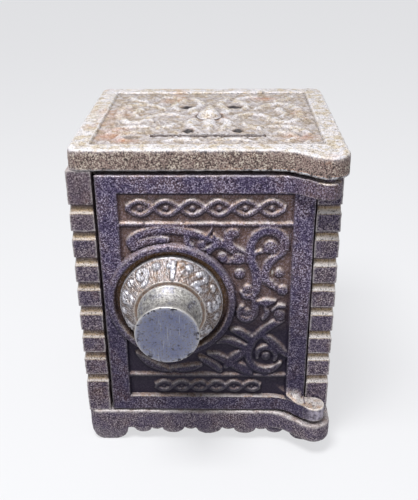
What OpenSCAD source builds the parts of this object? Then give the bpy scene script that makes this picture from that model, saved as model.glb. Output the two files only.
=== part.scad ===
// Combination safe still bank: a small cast-iron box safe with a nickel-plated dial,
// a scroll-cast door on two corner pivots and a coin slot in the top plate.
// Millimetres. X to the right, Y to the back, Z up. The door faces -Y.
// Origin: centre of the walls, on the surface that the feet stand on.

/* [Case] */
// Width over the side walls
case_w = 63.4; // [58:0.1:72]
// Depth over the walls, front pilaster face to back
case_d = 56; // [52:0.1:66]
// Height of the walls between the two plates
wall_h = 67.7; // [66:0.1:76]
// Thickness of the side walls
wall_t = 2.6; // [2:0.1:3]
// Thickness of the back wall
back_t = 2.5; // [2:0.1:3]
// Recess of the side and back panels
panel_depth = 0.7; // [0.3:0.1:1]
// Width of the border round the side and back panels
panel_border = 4.5; // [3:0.1:7]
// Height of the scrolls in the side and back panels
scroll_low = 0.6; // [0.3:0.1:0.7]

/* [Corner blocks] */
// Width of a corner pilaster seen from the front
pil_w = 5.8; // [5:0.1:6.6]
// Depth of a corner pilaster
pil_d = 3.2; // [2.6:0.1:3.4]
// Height of one course of blocks
course_h = 6.84; // [6:0.01:8]
// Height of the flat face of a block
block_face = 4.44; // [3:0.01:5]
// How far the blocks stand out of their grooves, and the pilasters out of the side panels
block_relief = 0.9; // [0.5:0.1:1.2]
// How far the blocks stand out of their grooves on the outer sides
side_relief = 0.3; // [0.2:0.1:0.6]
// Height of the lowest groove above the base plate
first_groove = 11.7; // [10:0.1:13]

/* [Base plate] */
// Height of the top of the base plate above the ground
base_h = 9.6; // [9:0.1:12]
// Thickness of the deck that the walls stand on
base_deck = 3.2; // [2.6:0.1:3.4]
// Thickness of the scalloped skirt
skirt_t = 3; // [2.4:0.1:4]
// Height of the skirt's plain lower edge above the ground
skirt_z = 3.5; // [3:0.1:4.2]
// Underside of the pivot boss above the ground
base_boss_z = 4.6; // [3.6:0.1:4.8]
// How far the base plate stands out beside the walls
base_lip = 0.3; // [0:0.1:0.6]
// How far the pivot boss stands out in front of the base plate
base_boss_out = 6; // [5:0.1:7]
// Offset of the base plate to the right, as loose castings have
base_shift = 0.2; // [0:0.1:0.4]
// Width of a corner foot
foot_w = 10.4; // [9:0.1:12]
// Flat part of a corner foot
foot_flat = 2.4; // [2:0.1:4]

/* [Top plate] */
// Thickness of the top plate at its edge
top_t = 5.2; // [4.6:0.1:6.5]
// Thickness of its deck
top_deck = 2.9; // [2.4:0.1:3.4]
// Width of the raised border round the top panel
top_border = 4.9; // [4:0.1:6.5]
// Recess of the top panel
top_recess = 0.5; // [0.3:0.1:0.8]
// How far the top plate's front edge stands out in front of the walls
top_lip = 0.1; // [0:0.1:0.6]
// How far the pivot boss stands out in front of the top plate
top_boss_out = 5.7; // [5:0.1:6.2]
// Offset of the top plate to the right, as loose castings have
top_shift = 0.6; // [0:0.1:0.8]
// Length of the coin slot
slot_l = 27.6; // [24:0.1:30]
// Width of the coin slot
slot_w = 2; // [1.8:0.1:3]
// Distance of the coin slot's centre line in front of the tie bolt
slot_fwd = 16.3; // [14:0.1:17]

/* [Both plates] */
// How far the base plate stands out in front of the walls, and both plates behind them
plate_lip = 0.5; // [0.3:0.1:1]
// Radius of the plates' corners seen from above
plate_r = 2.6; // [1.5:0.1:3]
// Bevel along the upper edge of both plates
bevel = 0.5; // [0.4:0.1:1]
// Thickness of the ribs that locate the walls
rib_t = 1.6; // [1.2:0.1:2.2]
// Height of the ribs that locate the walls
rib_h = 1.8; // [1.4:0.1:2.4]
// Gap between the ribs and the walls
rib_gap = 0.25; // [0.1:0.05:0.4]

/* [Door] */
// Thickness of the door at its border
door_t = 3.5; // [3.2:0.1:4]
// How far the door's border stands in front of the pilasters
door_proud = 0.1; // [0:0.1:0.4]
// Gap beside the door on the dial side
gap_lock = 0.7; // [0.6:0.05:1]
// Gap beside the door on the pivot side
gap_hinge = 0.3; // [0.2:0.05:0.6]
// Gap above the door
gap_top = 1; // [0.4:0.1:1.4]
// Gap below the door
gap_bottom = 0.3; // [0.2:0.05:0.8]
// Width of the plain border at the sides
border_w = 5; // [4:0.1:6]
// Width of the plain border at top and bottom
border_h = 4.5; // [3.5:0.1:5.5]
// Recess of the scroll-cast field
field_depth = 1.1; // [0.8:0.1:1.3]
// Height of the bare panel above the scrollwork
panel_h = 7.3; // [5:0.1:8]
// Height of the bare panel below the scrollwork
low_panel_h = 5.9; // [5:0.1:8]
// Width of the two crossbars
bar_w = 1; // [0.8:0.1:1.6]
// Height of the scrollwork above the field
scroll_h = 1; // [0.6:0.1:1]

/* [Pivots] */
// Distance of the pivot axis from the outside of the right wall
pivot_in = 3.9; // [3.4:0.1:4.4]
// Radius of the round end of the door's ears
ear_r = 2.7; // [2.5:0.1:2.9]
// Height of the ears
ear_h = 4; // [3:0.1:5]
// Slope at which the ears and the plates' bosses come forward, in degrees
sweep_angle = 37; // [34:1:45]
// Radius of the bend at the start of that slope
sweep_bend = 9; // [6:0.5:10]
// Gap between an ear and the plate beyond it
ear_gap = 1; // [0.5:0.1:1.3]
// Gap between the back of an ear and the pilaster
ear_back_gap = 0.3; // [0.2:0.05:0.5]
// Radius of the pivot pins
pin_r = 1.4; // [1.1:0.05:1.5]
// Length of a pin inside its plate
pin_in = 2; // [1.6:0.1:2.2]
// Running clearance of the pins, spindle and wheels
run_fit = 0.08; // [0.03:0.01:0.1]

/* [Dial and knob] */
// Distance of the dial's centre left of the case's centre
dial_left = 8.5; // [8:0.1:9]
// Height of the dial's centre above the base plate
dial_up = 33.6; // [31:0.1:36]
// Radius of the dial
dial_r = 12.7; // [12:0.1:13]
// Gap between the dial and its ring
dial_gap = 1.2; // [0.6:0.1:1.4]
// Width of the ring moulding
ring_w = 2; // [1.5:0.1:2.6]
// How far the ring stands in front of the door's border
ring_out = 0.9; // [0.4:0.1:1.2]
// Height of the dial's cone from rim to shoulder
cone_h = 4.5; // [3:0.1:5]
// Radius of the cone at its shoulder
cone_r = 8.7; // [8.3:0.1:9.5]
// Radius of the knob's foot
knob_foot_r = 7.85; // [7:0.05:8.2]
// Radius of the knob's face
knob_r = 7.5; // [6.8:0.1:8]
// Radius of the knob's waist
waist_r = 5.9; // [5:0.1:6.4]
// Height of the knob above the dial
knob_h = 9.6; // [8:0.1:11]

/* [Lock] */
// Radius of the spindle
spindle_r = 2; // [1.8:0.1:2.2]
// Radius of the notched wheels
wheel_r = 12; // [11:0.1:12.2]
// Thickness of each wheel
wheel_t = 1.1; // [0.9:0.1:1.2]
// Gate width in each wheel
gate_w = 5; // [4.6:0.1:5.6]
// Gate depth in each wheel
gate_d = 6; // [5.4:0.1:7]
// Thickness of the spacers between the wheels
spacer_t = 0.35; // [0.3:0.05:0.4]
// End play beside each wheel
play = 0.1; // [0.05:0.01:0.12]
// Height of the catch on the left wall
catch_h = 4; // [3.4:0.1:4.2]
// Thickness of the catch
catch_t = 1.8; // [1.6:0.1:1.9]
// How far the catch reaches over the wheels
catch_over = 2.5; // [2:0.1:2.8]
// Radius of the pins that carry the wheels round
rivet_r = 0.7; // [0.5:0.05:0.8]
// Distance of those pins from the spindle
rivet_at = 7.5; // [6:0.1:9]

/* [Tie bolt] */
// Distance of the tie bolt right of the case's centre
bolt_right = 0.5; // [0:0.1:0.6]
// Radius of the bolt that ties the plates together
bolt_r = 1.9; // [1.5:0.1:2]
// Radius of its domed head
bolt_head_r = 3.1; // [2.9:0.1:4.5]
// Height of its domed head
bolt_head_h = 2.1; // [1.4:0.1:2.4]

/* [Hidden] */
$fn = 64;
tiny = 0.01;
cut = 1;                                // how far a cutting shape runs past the surface it cuts
seat_gap = 0.03;                        // clearance of fixed pins and nuts
overlap = 1;                            // how far joined shapes run into each other

iron = [0.27, 0.23, 0.26];
worn_iron = [0.62, 0.58, 0.54];
nickel = [0.74, 0.72, 0.68];
steel = [0.52, 0.52, 0.54];

// Planes and heights
half_w = case_w / 2;
half_d = case_d / 2;
base_half = half_w + base_lip;                     // half width of the base plate
top_z0 = base_h + wall_h;
top_z = top_z0 + top_t;
plate_d = case_d + 2 * plate_lip;
inner_x = half_w - block_relief - wall_t;          // inside face of the side walls
pil_x = half_w - pil_w;                            // inner edge of the pilasters
pil_y = half_d - pil_d;                            // inner face of the pilasters
back_in_y = pil_y - back_t;                        // inside face of the back wall
side_gap = 0.2;                                    // gap beside the back wall
back_set = 0.4;                                    // how far the back panel lies inside the pilasters' back faces
panel_up = 2;                                      // extra border above and below the wall panels
last_block = 6.5;                                  // least height of the uppermost block

// Door
door_x0 = -pil_x + gap_lock;
door_x1 = pil_x - gap_hinge;
door_z0 = base_h + gap_bottom;
door_z1 = top_z0 - gap_top;
door_y0 = -half_d - door_proud;
door_y1 = door_y0 + door_t;
field_y = door_y0 + field_depth;
field_x0 = door_x0 + border_w;
field_x1 = door_x1 - border_w;
field_z0 = door_z0 + border_h;
field_z1 = door_z1 - border_h;
bar_z0 = field_z0 + low_panel_h;
bar_z1 = field_z1 - panel_h - bar_w;
stop_gap = 0.2;                                    // gap between the door's back and its stops
stop_y = door_y1 + stop_gap;
stop_over = 1.2;                                   // how far the stop reaches behind the door
stop_t = 1.8;
stop_clear = 1;                                    // space between the stop and the ribs above and below it
bar_back = 0.2;                                    // how far the crossbars lie behind the border

// Pivots
pivot_x = half_w - pivot_in;
pivot_y = -half_d - ear_back_gap - ear_r;
ear_low = [base_h + ear_gap, base_h + ear_gap + ear_h];
ear_high = [top_z0 - gap_top - ear_h, top_z0 - gap_top];
socket_floor = 0.1;                                // clearance under the lower pin
socket_roof = 0.5;                                 // clearance above the upper pin

// Dial and lock, all on one axis
dial_x = -dial_left;
dial_z = base_h + dial_up;
ring_r0 = dial_r + dial_gap;
ring_r1 = ring_r0 + ring_w;
ring_y = door_y0 - ring_out;
dial_clear = 0.2;                                  // gap between the dial and the field behind it
dial_back_y = field_y - dial_clear;
dial_rim_y = ring_y;
shoulder_y = dial_rim_y - cone_h;
seat_step = 0.2;                                   // how far the knob's seat stands above the groove round it
knob_y = shoulder_y - knob_h;
boss_r = 4.6;
boss_y = door_y1 + catch_t + stop_gap + 0.4;       // end of the boss on the back of the door
spring_h = 0.6;
spring_sheet = 0.3;
spring_flat = 1;                                   // width of its flat inner and outer rims
hub_r = 4.2;                                       // outer radius of the spring washer and the spacers
wheel_1_y = boss_y + spring_h + play;
pitch_y = wheel_t + 2 * play + spacer_t;
wheel_2_y = wheel_1_y + pitch_y;
drive_y = wheel_2_y + pitch_y;
drive_end_y = drive_y + wheel_t;
key_s = spindle_r * 1.4;                           // square on the spindle for the drive wheel
stud_r = spindle_r * 0.65;
nut_t = 1.8;
nut_r = 3.1;
stud_end = 0.3;                                    // how far the stud passes its nut
spindle_in = 6.5;                                  // length of the spindle inside the knob
pin_angles = [60, 48, 36];                         // drive pin, second wheel's pin, first wheel's pin
pin_stand = 0.4;                                   // how far the pins stand out of their wheels
catch_x = dial_x - wheel_r + catch_over;

// Tie bolt
panel_z = top_z - top_recess;
base_boss_r = 5;
base_boss_t = 0.8;
washer_t = 0.6;
washer_r = 4.4;
tie_nut_t = 2.4;
tie_nut_r = 3.7;
bolt_end = 0.5;
nipple_r = 0.8;                                    // casting nipple on the bolt's dome
nipple_h = 0.2;
deck_z = base_h - base_deck;
tie_seat_z = deck_z - base_boss_t;

// Points on an arc about c, from angle a0 to a1
function arc(c, r, a0, a1, n = 6) = [for (i = [0:n]) let (a = a0 + (a1 - a0) * i / n) c + r * [cos(a), sin(a)]];

// The bend that leads from the edge at y to a straight slope, which then touches the circle of radius r about
// c. Drawn in by inset, the bend keeps its centre.
function sweep(c, r, y, inset = 0) = let (
    bend = sweep_bend + inset,
    touch = c - r * [sin(sweep_angle), cos(sweep_angle)],
    start_x = touch[0] - (y - touch[1]) / tan(sweep_angle) - bend * tan(sweep_angle / 2)
) arc([start_x, y - bend], bend, 90, 90 - sweep_angle);

// Outline of a plate half_x wide on either side, whose front edge stands out by lip and its pivot boss by
// boss_out. It is drawn in by inset all round, and before the plate's shift to the right.
function plate_outline(half_x, lip, boss_out, shift, inset = 0) = let (
    x = half_x - inset,
    y = plate_d / 2 - inset,
    front = -half_d - lip + inset,
    r = plate_r - inset,
    corner_r = x - pivot_x + shift,
    c = [pivot_x - shift, front - boss_out + corner_r]
) concat(
    arc([-x + r, front + r], r, 180, 270),
    sweep(c, corner_r, front, inset),
    arc(c, corner_r, 270 - sweep_angle, 360, 9),
    arc([x - r, y - r], r, 0, 90),
    arc([-x + r, y - r], r, 90, 180)
);

// Lower edge of a lobe of width w hanging drop below the skirt's edge, as points from left to right
function lobe(x, w, drop, n = 8) = let (
    r = (w * w / 4 + drop * drop) / (2 * drop),
    a = asin(w / 2 / r)
) [for (i = [0:n]) let (t = -a + 2 * a * i / n) [x + r * sin(t), skirt_z - drop + r * (1 - cos(t))]];

// Lower edge of a foot: two quarter ellipses that run into its flat part, as points from left to right
function foot(x, n = 5) = let (
    f = foot_flat / 2,
    run = (foot_w - foot_flat) / 2 - tiny
) concat(
    [for (i = [0:n]) [x - f - run * cos(90 * i / n), skirt_z * (1 - sin(90 * i / n))]],
    [for (i = [n:-1:0]) [x + f + run * cos(90 * i / n), skirt_z * (1 - sin(90 * i / n))]]
);

// Skirt seen square on: a band with scallops below it, and a foot at each end where it has feet. A lobe is its
// place and its width as shares of the half width between the feet, and its drop.
module skirt_face(length, feet) {
    foot_x = length / 2 - foot_w / 2;
    inner = length / 2 - foot_w;
    lobes = [[-0.82, 0.27, 1.2], [-0.45, 0.4, 1.3], [0, 0.44, 1.5], [0.45, 0.4, 1.3], [0.82, 0.27, 1.2]];
    points = concat(
        [[-length / 2, base_h], [-length / 2, skirt_z]],
        feet ? foot(-foot_x) : [],
        [for (l = lobes) each lobe(l[0] * inner, l[1] * inner, l[2], 6)],
        feet ? foot(foot_x) : [],
        [[length / 2, skirt_z], [length / 2, base_h]]
    );
    polygon(points);
}

// A skirt along one side: length along X, outer face at y
module skirt(length, y, feet) {
    translate([0, y + skirt_t, 0])
        rotate([90, 0, 0])
            linear_extrude(skirt_t)
                skirt_face(length, feet);
}

// Frame of ribs inside the walls, behind the door and in front of the back wall
module rib_frame(z, h) {
    x = inner_x - rib_gap;
    y0 = stop_y;
    y1 = back_in_y - rib_gap;
    translate([-x, y0, z]) difference() {
        cube([2 * x, y1 - y0, h]);
        translate([rib_t, rib_t, -cut])
            cube([2 * (x - rib_t), y1 - y0 - 2 * rib_t, h + 2 * cut]);
    }
}

module base_plate() {
    color(iron) translate([base_shift, 0, 0]) difference() {
        union() {
            // Band and deck, bevelled by a step
            difference() {
                translate([0, 0, base_boss_z])
                    linear_extrude(base_h - bevel - base_boss_z)
                        polygon(plate_outline(base_half, plate_lip, base_boss_out, base_shift));
                translate([-base_half + skirt_t, -plate_d / 2 + skirt_t, 0])
                    cube([2 * (base_half - skirt_t), plate_d - 2 * skirt_t, deck_z]);
            }
            translate([0, 0, base_h - bevel])
                linear_extrude(bevel)
                    polygon(plate_outline(base_half, plate_lip, base_boss_out, base_shift, bevel / 2));
            // Scalloped skirts, whose feet are at the ends of the front and the back one
            intersection() {
                linear_extrude(base_h - bevel)
                    polygon(plate_outline(base_half, plate_lip, base_boss_out, base_shift));
                union() {
                    skirt(2 * base_half, -plate_d / 2, true);
                    skirt(2 * base_half, plate_d / 2 - skirt_t, true);
                    rotate([0, 0, 90]) skirt(plate_d, -base_half, false);
                    rotate([0, 0, 90]) skirt(plate_d, base_half - skirt_t, false);
                }
            }
            translate([bolt_right - base_shift, 0, tie_seat_z])
                cylinder(r = base_boss_r, h = base_boss_t + tiny);
            translate([-base_shift, 0, 0])
                rib_frame(base_h - tiny, rib_h);
        }
        translate([-base_shift, 0, 0]) {
            translate([bolt_right, 0, -cut])
                cylinder(r = bolt_r + seat_gap, h = base_h + 2 * cut);
            translate([pivot_x, pivot_y, base_h - pin_in - socket_floor])
                cylinder(r = pin_r + run_fit, h = pin_in + cut);
        }
    }
}

// A flat strip that bends along points [x, y, half width], as one outline with a corner at each share of step
function strip_span(p, i, step) = let (
    a = p[max(i - 1, 0)], b = p[i], c = p[i + 1], d = p[min(i + 2, len(p) - 1)]
) [for (t = [0:step:0.99]) 0.5 * (2 * b + (c - a) * t + (2 * a - 5 * b + 4 * c - d) * t * t
    + (3 * b - a - 3 * c + d) * t * t * t)];
function strip_line(p, step) = concat([for (i = [0:len(p) - 2]) each strip_span(p, i, step)], [p[len(p) - 1]]);
function strip_side(q, s) = [for (i = [0:len(q) - 1]) let (
    a = q[max(i - 1, 0)], b = q[min(i + 1, len(q) - 1)],
    d = [b[0] - a[0], b[1] - a[1]], n = [-d[1], d[0]] / norm(d)
) [q[i][0], q[i][1]] + s * q[i][2] * n];
module strip(points, step = 0.25) {
    q = strip_line(points, step);
    left = strip_side(q, 1);
    right = strip_side(q, -1);
    polygon(concat(left, [for (i = [len(right) - 1:-1:0]) right[i]]));
}

// The top panel's worn rosette: a leaf towards each corner and a C-scroll at each side, stretched from the
// panel that it is drawn for to the real one
module top_ornament() {
    drawn_panel = [53.6, 47.2];
    leaf = [[2.6, 4.2, 0.4], [4.2, 6.6, 1.5], [6, 9, 1.1], [8, 11.5, 0.3]];
    side = [[11, 6.5, 0.5], [14, 10, 0.9], [19, 10.5, 1], [22.5, 6, 1], [22.5, 0, 1], [20, -4.5, 0.9],
        [16.5, -4, 0.6]];
    wide = (case_w - 2 * top_border) / drawn_panel[0];
    deep = (plate_d - 2 * top_border) / drawn_panel[1];
    for (sx = [-1, 1]) {
        for (sy = [-1, 1])
            strip([for (p = leaf) [sx * p[0] * wide, sy * p[1] * deep, p[2]]]);
        strip([for (p = side) [sx * p[0] * wide, p[1] * deep, p[2]]]);
    }
}

module top_plate() {
    panel_w = case_w - 2 * top_border;
    panel_d = plate_d - 2 * top_border;
    pocket_x = inner_x - rib_gap - rib_t;
    pocket_y0 = stop_y + rib_t;
    pocket_y1 = back_in_y - rib_gap - rib_t;
    color(worn_iron) translate([top_shift, 0, 0]) difference() {
        union() {
            difference() {
                union() {
                    translate([0, 0, top_z0])
                        linear_extrude(top_t - bevel)
                            polygon(plate_outline(half_w, top_lip, top_boss_out, top_shift));
                    translate([0, 0, top_z - bevel])
                        linear_extrude(bevel)
                            polygon(plate_outline(half_w, top_lip, top_boss_out, top_shift, bevel / 2));
                }
                translate([-panel_w / 2, -panel_d / 2, panel_z])
                    cube([panel_w, panel_d, top_recess + cut]);
            }
            translate([0, 0, panel_z - tiny])
                linear_extrude(top_recess)
                    top_ornament();
            translate([-top_shift, 0, 0])
                rib_frame(top_z0 - rib_h, rib_h + tiny);
        }
        translate([-pocket_x - top_shift, pocket_y0, top_z0 - cut])
            cube([2 * pocket_x, pocket_y1 - pocket_y0, top_t - top_deck - top_recess + cut]);
        translate([-slot_l / 2, -slot_fwd - slot_w / 2, top_z0 - cut])
            cube([slot_l, slot_w, top_t + 2 * cut]);
        translate([-top_shift, 0, 0]) {
            translate([bolt_right, 0, top_z0 - cut])
                cylinder(r = bolt_r + seat_gap, h = top_t + 2 * cut);
            translate([pivot_x, pivot_y, top_z0 - cut])
                cylinder(r = pin_r + run_fit, h = cut + pin_in + socket_roof);
        }
    }
}

// Side view of a pilaster: blocks whose flat faces stand out, each with an undercut groove above the next
module course_profile(depth, relief) {
    grooves = [for (z = [first_groove:course_h:wall_h - last_block]) z];
    points = concat(
        [[0, 0]],
        [for (z = grooves) each [
            [0, z - (course_h - block_face)],
            [relief, z],
            [0, z]
        ]],
        [[0, wall_h], [depth, wall_h], [depth, 0]]
    );
    polygon(points);
}

// One corner pilaster in the right front corner: blocks on its front and on its outer side
module pilaster() {
    intersection() {
        translate([pil_x, -half_d, base_h])
            rotate([90, 0, 90])
                linear_extrude(pil_w)
                    course_profile(pil_d, block_relief);
        translate([half_w, -half_d + pil_w, base_h])
            rotate([90, 0, 0])
                linear_extrude(pil_w)
                    mirror([1, 0])
                        course_profile(pil_w, side_relief);
    }
}

// Scrollwork of a wall panel in low relief: a rosette in the middle and two C-scrolls with seed heads in each
// quarter. It is drawn for a quarter 17 mm wide and 27 mm high, and stretched to the real one.
module panel_scrolls(half_width, half_height) {
    drawn_quarter = [17, 27];
    scrolls = [
        [[3.4, 3.2, 0.5], [6.4, 4.6, 0.9], [8.6, 7.6, 1], [8.8, 11.2, 1], [6.8, 13.8, 0.9],
            [3.9, 13.6, 0.8], [3.1, 11.2, 0.7]],
        [[9.2, 8.4, 0.5], [11.8, 11.4, 0.9], [13.6, 15.4, 1], [13.2, 19.8, 1], [10.4, 22.6, 0.9],
            [7.2, 21.8, 0.8], [6.8, 19, 0.7]]
    ];
    heads = [[5, 11.6, 1.2], [9.2, 20, 1.3], [12.2, 6, 0.9]];
    stretch = [half_width / drawn_quarter[0], half_height / drawn_quarter[1]];
    circle(r = 3.2);
    for (mx = [-1, 1], my = [-1, 1]) {
        for (line = scrolls)
            strip([for (p = line) [mx * p[0] * stretch[0], my * p[1] * stretch[1], p[2]]], 0.5);
        for (h = heads)
            translate([mx * h[0] * stretch[0], my * h[1] * stretch[1]])
                circle(r = h[2]);
    }
}

// The right-hand wall: a panelled sheet between a front and a back pilaster
module side_wall() {
    sheet_x = half_w - block_relief;
    sheet_y = half_d - pil_w;
    half_wide = sheet_y - panel_border;
    half_tall = wall_h / 2 - panel_border - panel_up;
    difference() {
        union() {
            difference() {
                translate([inner_x, -pil_y - tiny, base_h])
                    cube([wall_t, 2 * (pil_y + tiny), wall_h]);
                translate([sheet_x - panel_depth, -half_wide, base_h + wall_h / 2 - half_tall])
                    cube([panel_depth + cut, 2 * half_wide, 2 * half_tall]);
            }
            translate([sheet_x - panel_depth - tiny, 0, base_h + wall_h / 2])
                rotate([90, 0, 90])
                    linear_extrude(scroll_low)
                        panel_scrolls(half_wide, half_tall);
            pilaster();
            mirror([0, 1, 0]) pilaster();
        }
        // Room for the back wall's edge behind the pilaster, and a flat inside face
        translate([0, -pil_y, base_h - cut])
            cube([inner_x, 2 * pil_y, wall_h + 2 * cut]);
    }
}

module right_wall() {
    color(iron) side_wall();
}

module left_wall() {
    color(iron) union() {
        mirror([1, 0, 0]) side_wall();
        // Stop behind the door's edge
        stop_x = door_x0 + stop_over;
        translate([-inner_x - tiny, stop_y, base_h + rib_h + stop_clear])
            cube([inner_x + stop_x + tiny, stop_t, wall_h - 2 * (rib_h + stop_clear)]);
        translate([-inner_x - tiny, -pil_y - tiny, base_h + rib_h + stop_clear])
            cube([inner_x - pil_x, stop_y + stop_t + pil_y, wall_h - 2 * (rib_h + stop_clear)]);
        // Catch that the wheels lock behind
        translate([stop_x - tiny, stop_y, dial_z - catch_h / 2])
            cube([catch_x - stop_x + tiny, catch_t, catch_h]);
    }
}

module back_wall() {
    x0 = inner_x - side_gap;
    x1 = pil_x - side_gap;
    outer_y = half_d - back_set;
    panel_x = x1 - panel_border;
    panel_z0 = base_h + panel_border + panel_up;
    panel_tall = wall_h - 2 * (panel_border + panel_up);
    panel_y = outer_y - panel_depth;
    color(iron) union() {
        difference() {
            union() {
                translate([-x0, back_in_y, base_h])
                    cube([2 * x0, back_t - tiny, wall_h]);
                translate([-x1, back_in_y, base_h])
                    cube([2 * x1, outer_y - back_in_y, wall_h]);
            }
            // The recessed panel outside, and the hollow behind it that keeps the wall even
            translate([-panel_x, panel_y, panel_z0])
                cube([2 * panel_x, panel_depth + cut, panel_tall]);
            translate([-panel_x, back_in_y - cut, panel_z0])
                cube([2 * panel_x, panel_y - back_t - back_in_y + cut, panel_tall]);
        }
        translate([0, panel_y + scroll_low, base_h + wall_h / 2])
            rotate([90, 0, 0])
                linear_extrude(scroll_low + tiny)
                    panel_scrolls(panel_x, panel_tall / 2);
    }
}

module tie_bolt() {
    n = 8;
    r = (bolt_head_r * bolt_head_r + bolt_head_h * bolt_head_h) / (2 * bolt_head_h);
    a = asin(bolt_head_r / r);
    dome = [for (i = [0:n]) let (t = a * (1 - i / n)) [r * sin(t), panel_z + bolt_head_h - r * (1 - cos(t))]];
    color(worn_iron) translate([bolt_right, 0, 0]) union() {
        rotate_extrude()
            polygon(concat([[0, panel_z]], dome));
        translate([0, 0, bolt_end])
            cylinder(r = bolt_r, h = panel_z - bolt_end + tiny);
        translate([0, 0, panel_z + bolt_head_h - nipple_h])
            cylinder(r = nipple_r, h = 2 * nipple_h);
    }
}

module tie_washer() {
    color(steel) translate([bolt_right, 0, tie_seat_z - washer_t]) difference() {
        cylinder(r = washer_r, h = washer_t);
        translate([0, 0, -cut])
            cylinder(r = bolt_r + seat_gap, h = washer_t + 2 * cut);
    }
}

module tie_nut() {
    color(steel) translate([bolt_right, 0, tie_seat_z - washer_t - tie_nut_t]) difference() {
        cylinder(r = tie_nut_r, h = tie_nut_t, $fn = 6);
        translate([0, 0, -cut])
            cylinder(r = bolt_r + seat_gap, h = tie_nut_t + 2 * cut);
    }
}

// Scrollwork: stems that curl round the dial ring, with round seed heads. It is drawn on a field 40.8 mm
// wide and 57.4 mm high, measured from the field's lower left corner, and stretched to the real field.
drawn_w = 40.8;
drawn_h = 57.4;
stems = [
    [[3.2, 43.6, 0.9], [2.6, 45.2, 1], [4.2, 46.8, 1], [7.2, 47.9, 1], [11.2, 48.2, 1], [15.2, 47.9, 1], [18.4, 47, 0.9], [20.8, 46, 0.5]],
    [[3.4, 43.8, 0.7], [5.7, 44.9, 0.9], [8.4, 45.6, 0.9], [11, 45.6, 0.6]],
    [[21, 42.2, 0.5], [21.8, 43.6, 0.8], [23.4, 44.6, 1], [25.4, 44.2, 1.1], [27.2, 42.8, 1.1], [29.2, 41.7, 1], [31, 41.6, 0.7]],
    [[27.4, 47, 0.5], [27, 48, 0.6], [26, 48.4, 0.7], [25, 47.4, 0.7], [25.2, 45.8, 0.8], [26.8, 43.8, 0.9], [28.8, 42.4, 0.8]],
    [[31.1, 42, 0.8], [31.4, 39.8, 1], [32.2, 37.4, 1.1], [32.6, 35, 1.1], [32.4, 32.4, 1.1], [31.4, 30.6, 1], [29.9, 30.2, 0.8], [28.9, 31.2, 0.5]],
    [[30.9, 41.6, 0.8], [31, 44.5, 1], [32.4, 47, 1], [34.8, 48.1, 1.1], [37.4, 47.5, 1.1], [38.9, 45.4, 1.1], [38.6, 43, 1.1], [37, 41.1, 1],
        [35.6, 39.2, 1], [34.9, 37, 1], [35.2, 34.8, 1], [36.8, 33.6, 0.9], [38.2, 34.4, 0.6]],
    [[31.6, 41.4, 0.5], [33, 42.1, 0.8], [34.4, 42.8, 0.8], [35.5, 43.8, 0.6]],
    [[35.9, 33.8, 0.7], [37.6, 32.6, 0.8], [38.8, 31.8, 0.7]],
    [[31.6, 30.2, 0.5], [32.4, 27.8, 0.8], [32.1, 25.6, 1], [30.8, 23.9, 1], [29.1, 24, 0.9], [28.4, 25.6, 0.8], [29.2, 27.1, 0.5]],
    [[32.6, 28.8, 0.3], [35, 28.5, 1], [37.4, 29, 0.3]],
    [[39.2, 24, 0.8], [38.4, 21.8, 1], [36.4, 20.4, 1], [34.2, 20, 0.6]],
    [[26, 21.6, 0.4], [28.4, 20.2, 0.9], [30.6, 18.4, 1.1], [32.4, 16, 0.8]],
    [[33.8, 19.8, 0.6], [36.4, 18.6, 0.9], [38.6, 16.6, 0.9], [39.6, 14, 0.9], [39.3, 11, 1], [37.6, 8.8, 1], [35, 8, 1], [32.4, 9, 1],
        [31.1, 11.4, 1], [31.4, 14, 0.9], [33.2, 15.8, 0.8], [35.8, 16, 0.6]],
    [[31.4, 14.8, 0.5], [29.2, 13.4, 1.1], [27, 11.6, 1.2], [25.2, 9.4, 0.7]],
    [[24.8, 11, 0.5], [27.4, 9.6, 1.1], [29.8, 8.2, 1], [31.8, 7.4, 0.5]],
    [[23, 16.8, 0.5], [25.4, 17.2, 0.9], [28, 16.2, 1], [30.4, 15.2, 0.7]],
    [[20.6, 13.2, 0.4], [22.6, 12.5, 0.9], [25, 11.2, 1], [26.4, 9.8, 0.6]],
    [[18.4, 12.1, 0.4], [20, 11, 0.9], [22, 9.6, 1], [23.6, 8.2, 0.7]],
    [[11.2, 8.6, 0.4], [13.6, 8.4, 0.9], [16.2, 8.8, 0.9], [18.6, 9.6, 0.6]],
    [[2.3, 13.4, 0.35], [3.8, 11.6, 0.8], [6, 9.8, 1], [8.6, 8.6, 0.9], [10.8, 8, 0.5]]
];
seeds = [[24.6, 41, 1.5], [27.9, 40.5, 1.6], [30.2, 32.2, 1.1], [28.5, 36.4, 1.35], [35.6, 43.9, 1.4], [37.6, 36.2, 1.2],
    [38.8, 31.6, 1.3], [19.6, 44, 1.1], [30.2, 25.6, 1], [38.5, 25, 1.4], [35.4, 12.6, 2.2]];

module scrollwork() {
    sx = (field_x1 - field_x0) / drawn_w;
    sz = (field_z1 - field_z0) / drawn_h;
    for (s = stems)
        strip([for (p = s) [p[0] * sx, p[1] * sz, p[2]]]);
    for (s = seeds)
        translate([s[0] * sx, s[1] * sz])
            circle(r = s[2]);
}

// Round solid on the dial's axis, from y0 back to y1
module on_axis(r, y0, y1) {
    translate([dial_x, y1, dial_z])
        rotate([90, 0, 0])
            cylinder(r = r, h = y1 - y0);
}

// An ear of the door: its front sweeps forward to the pivot's round end
module ear(z0, z1) {
    c = [pivot_x, pivot_y];
    bend = sweep(c, ear_r, door_y0);
    back = door_y1 - overlap;
    translate([0, 0, z0]) linear_extrude(z1 - z0)
        polygon(concat(
            [[bend[0][0], back]],
            bend,
            [c - ear_r * [sin(sweep_angle), cos(sweep_angle)], c, c + [0, ear_r]],
            [[door_x1, pivot_y + ear_r], [door_x1, back]]
        ));
    translate([pivot_x, pivot_y, z0])
        cylinder(r = ear_r, h = z1 - z0);
}

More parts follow.
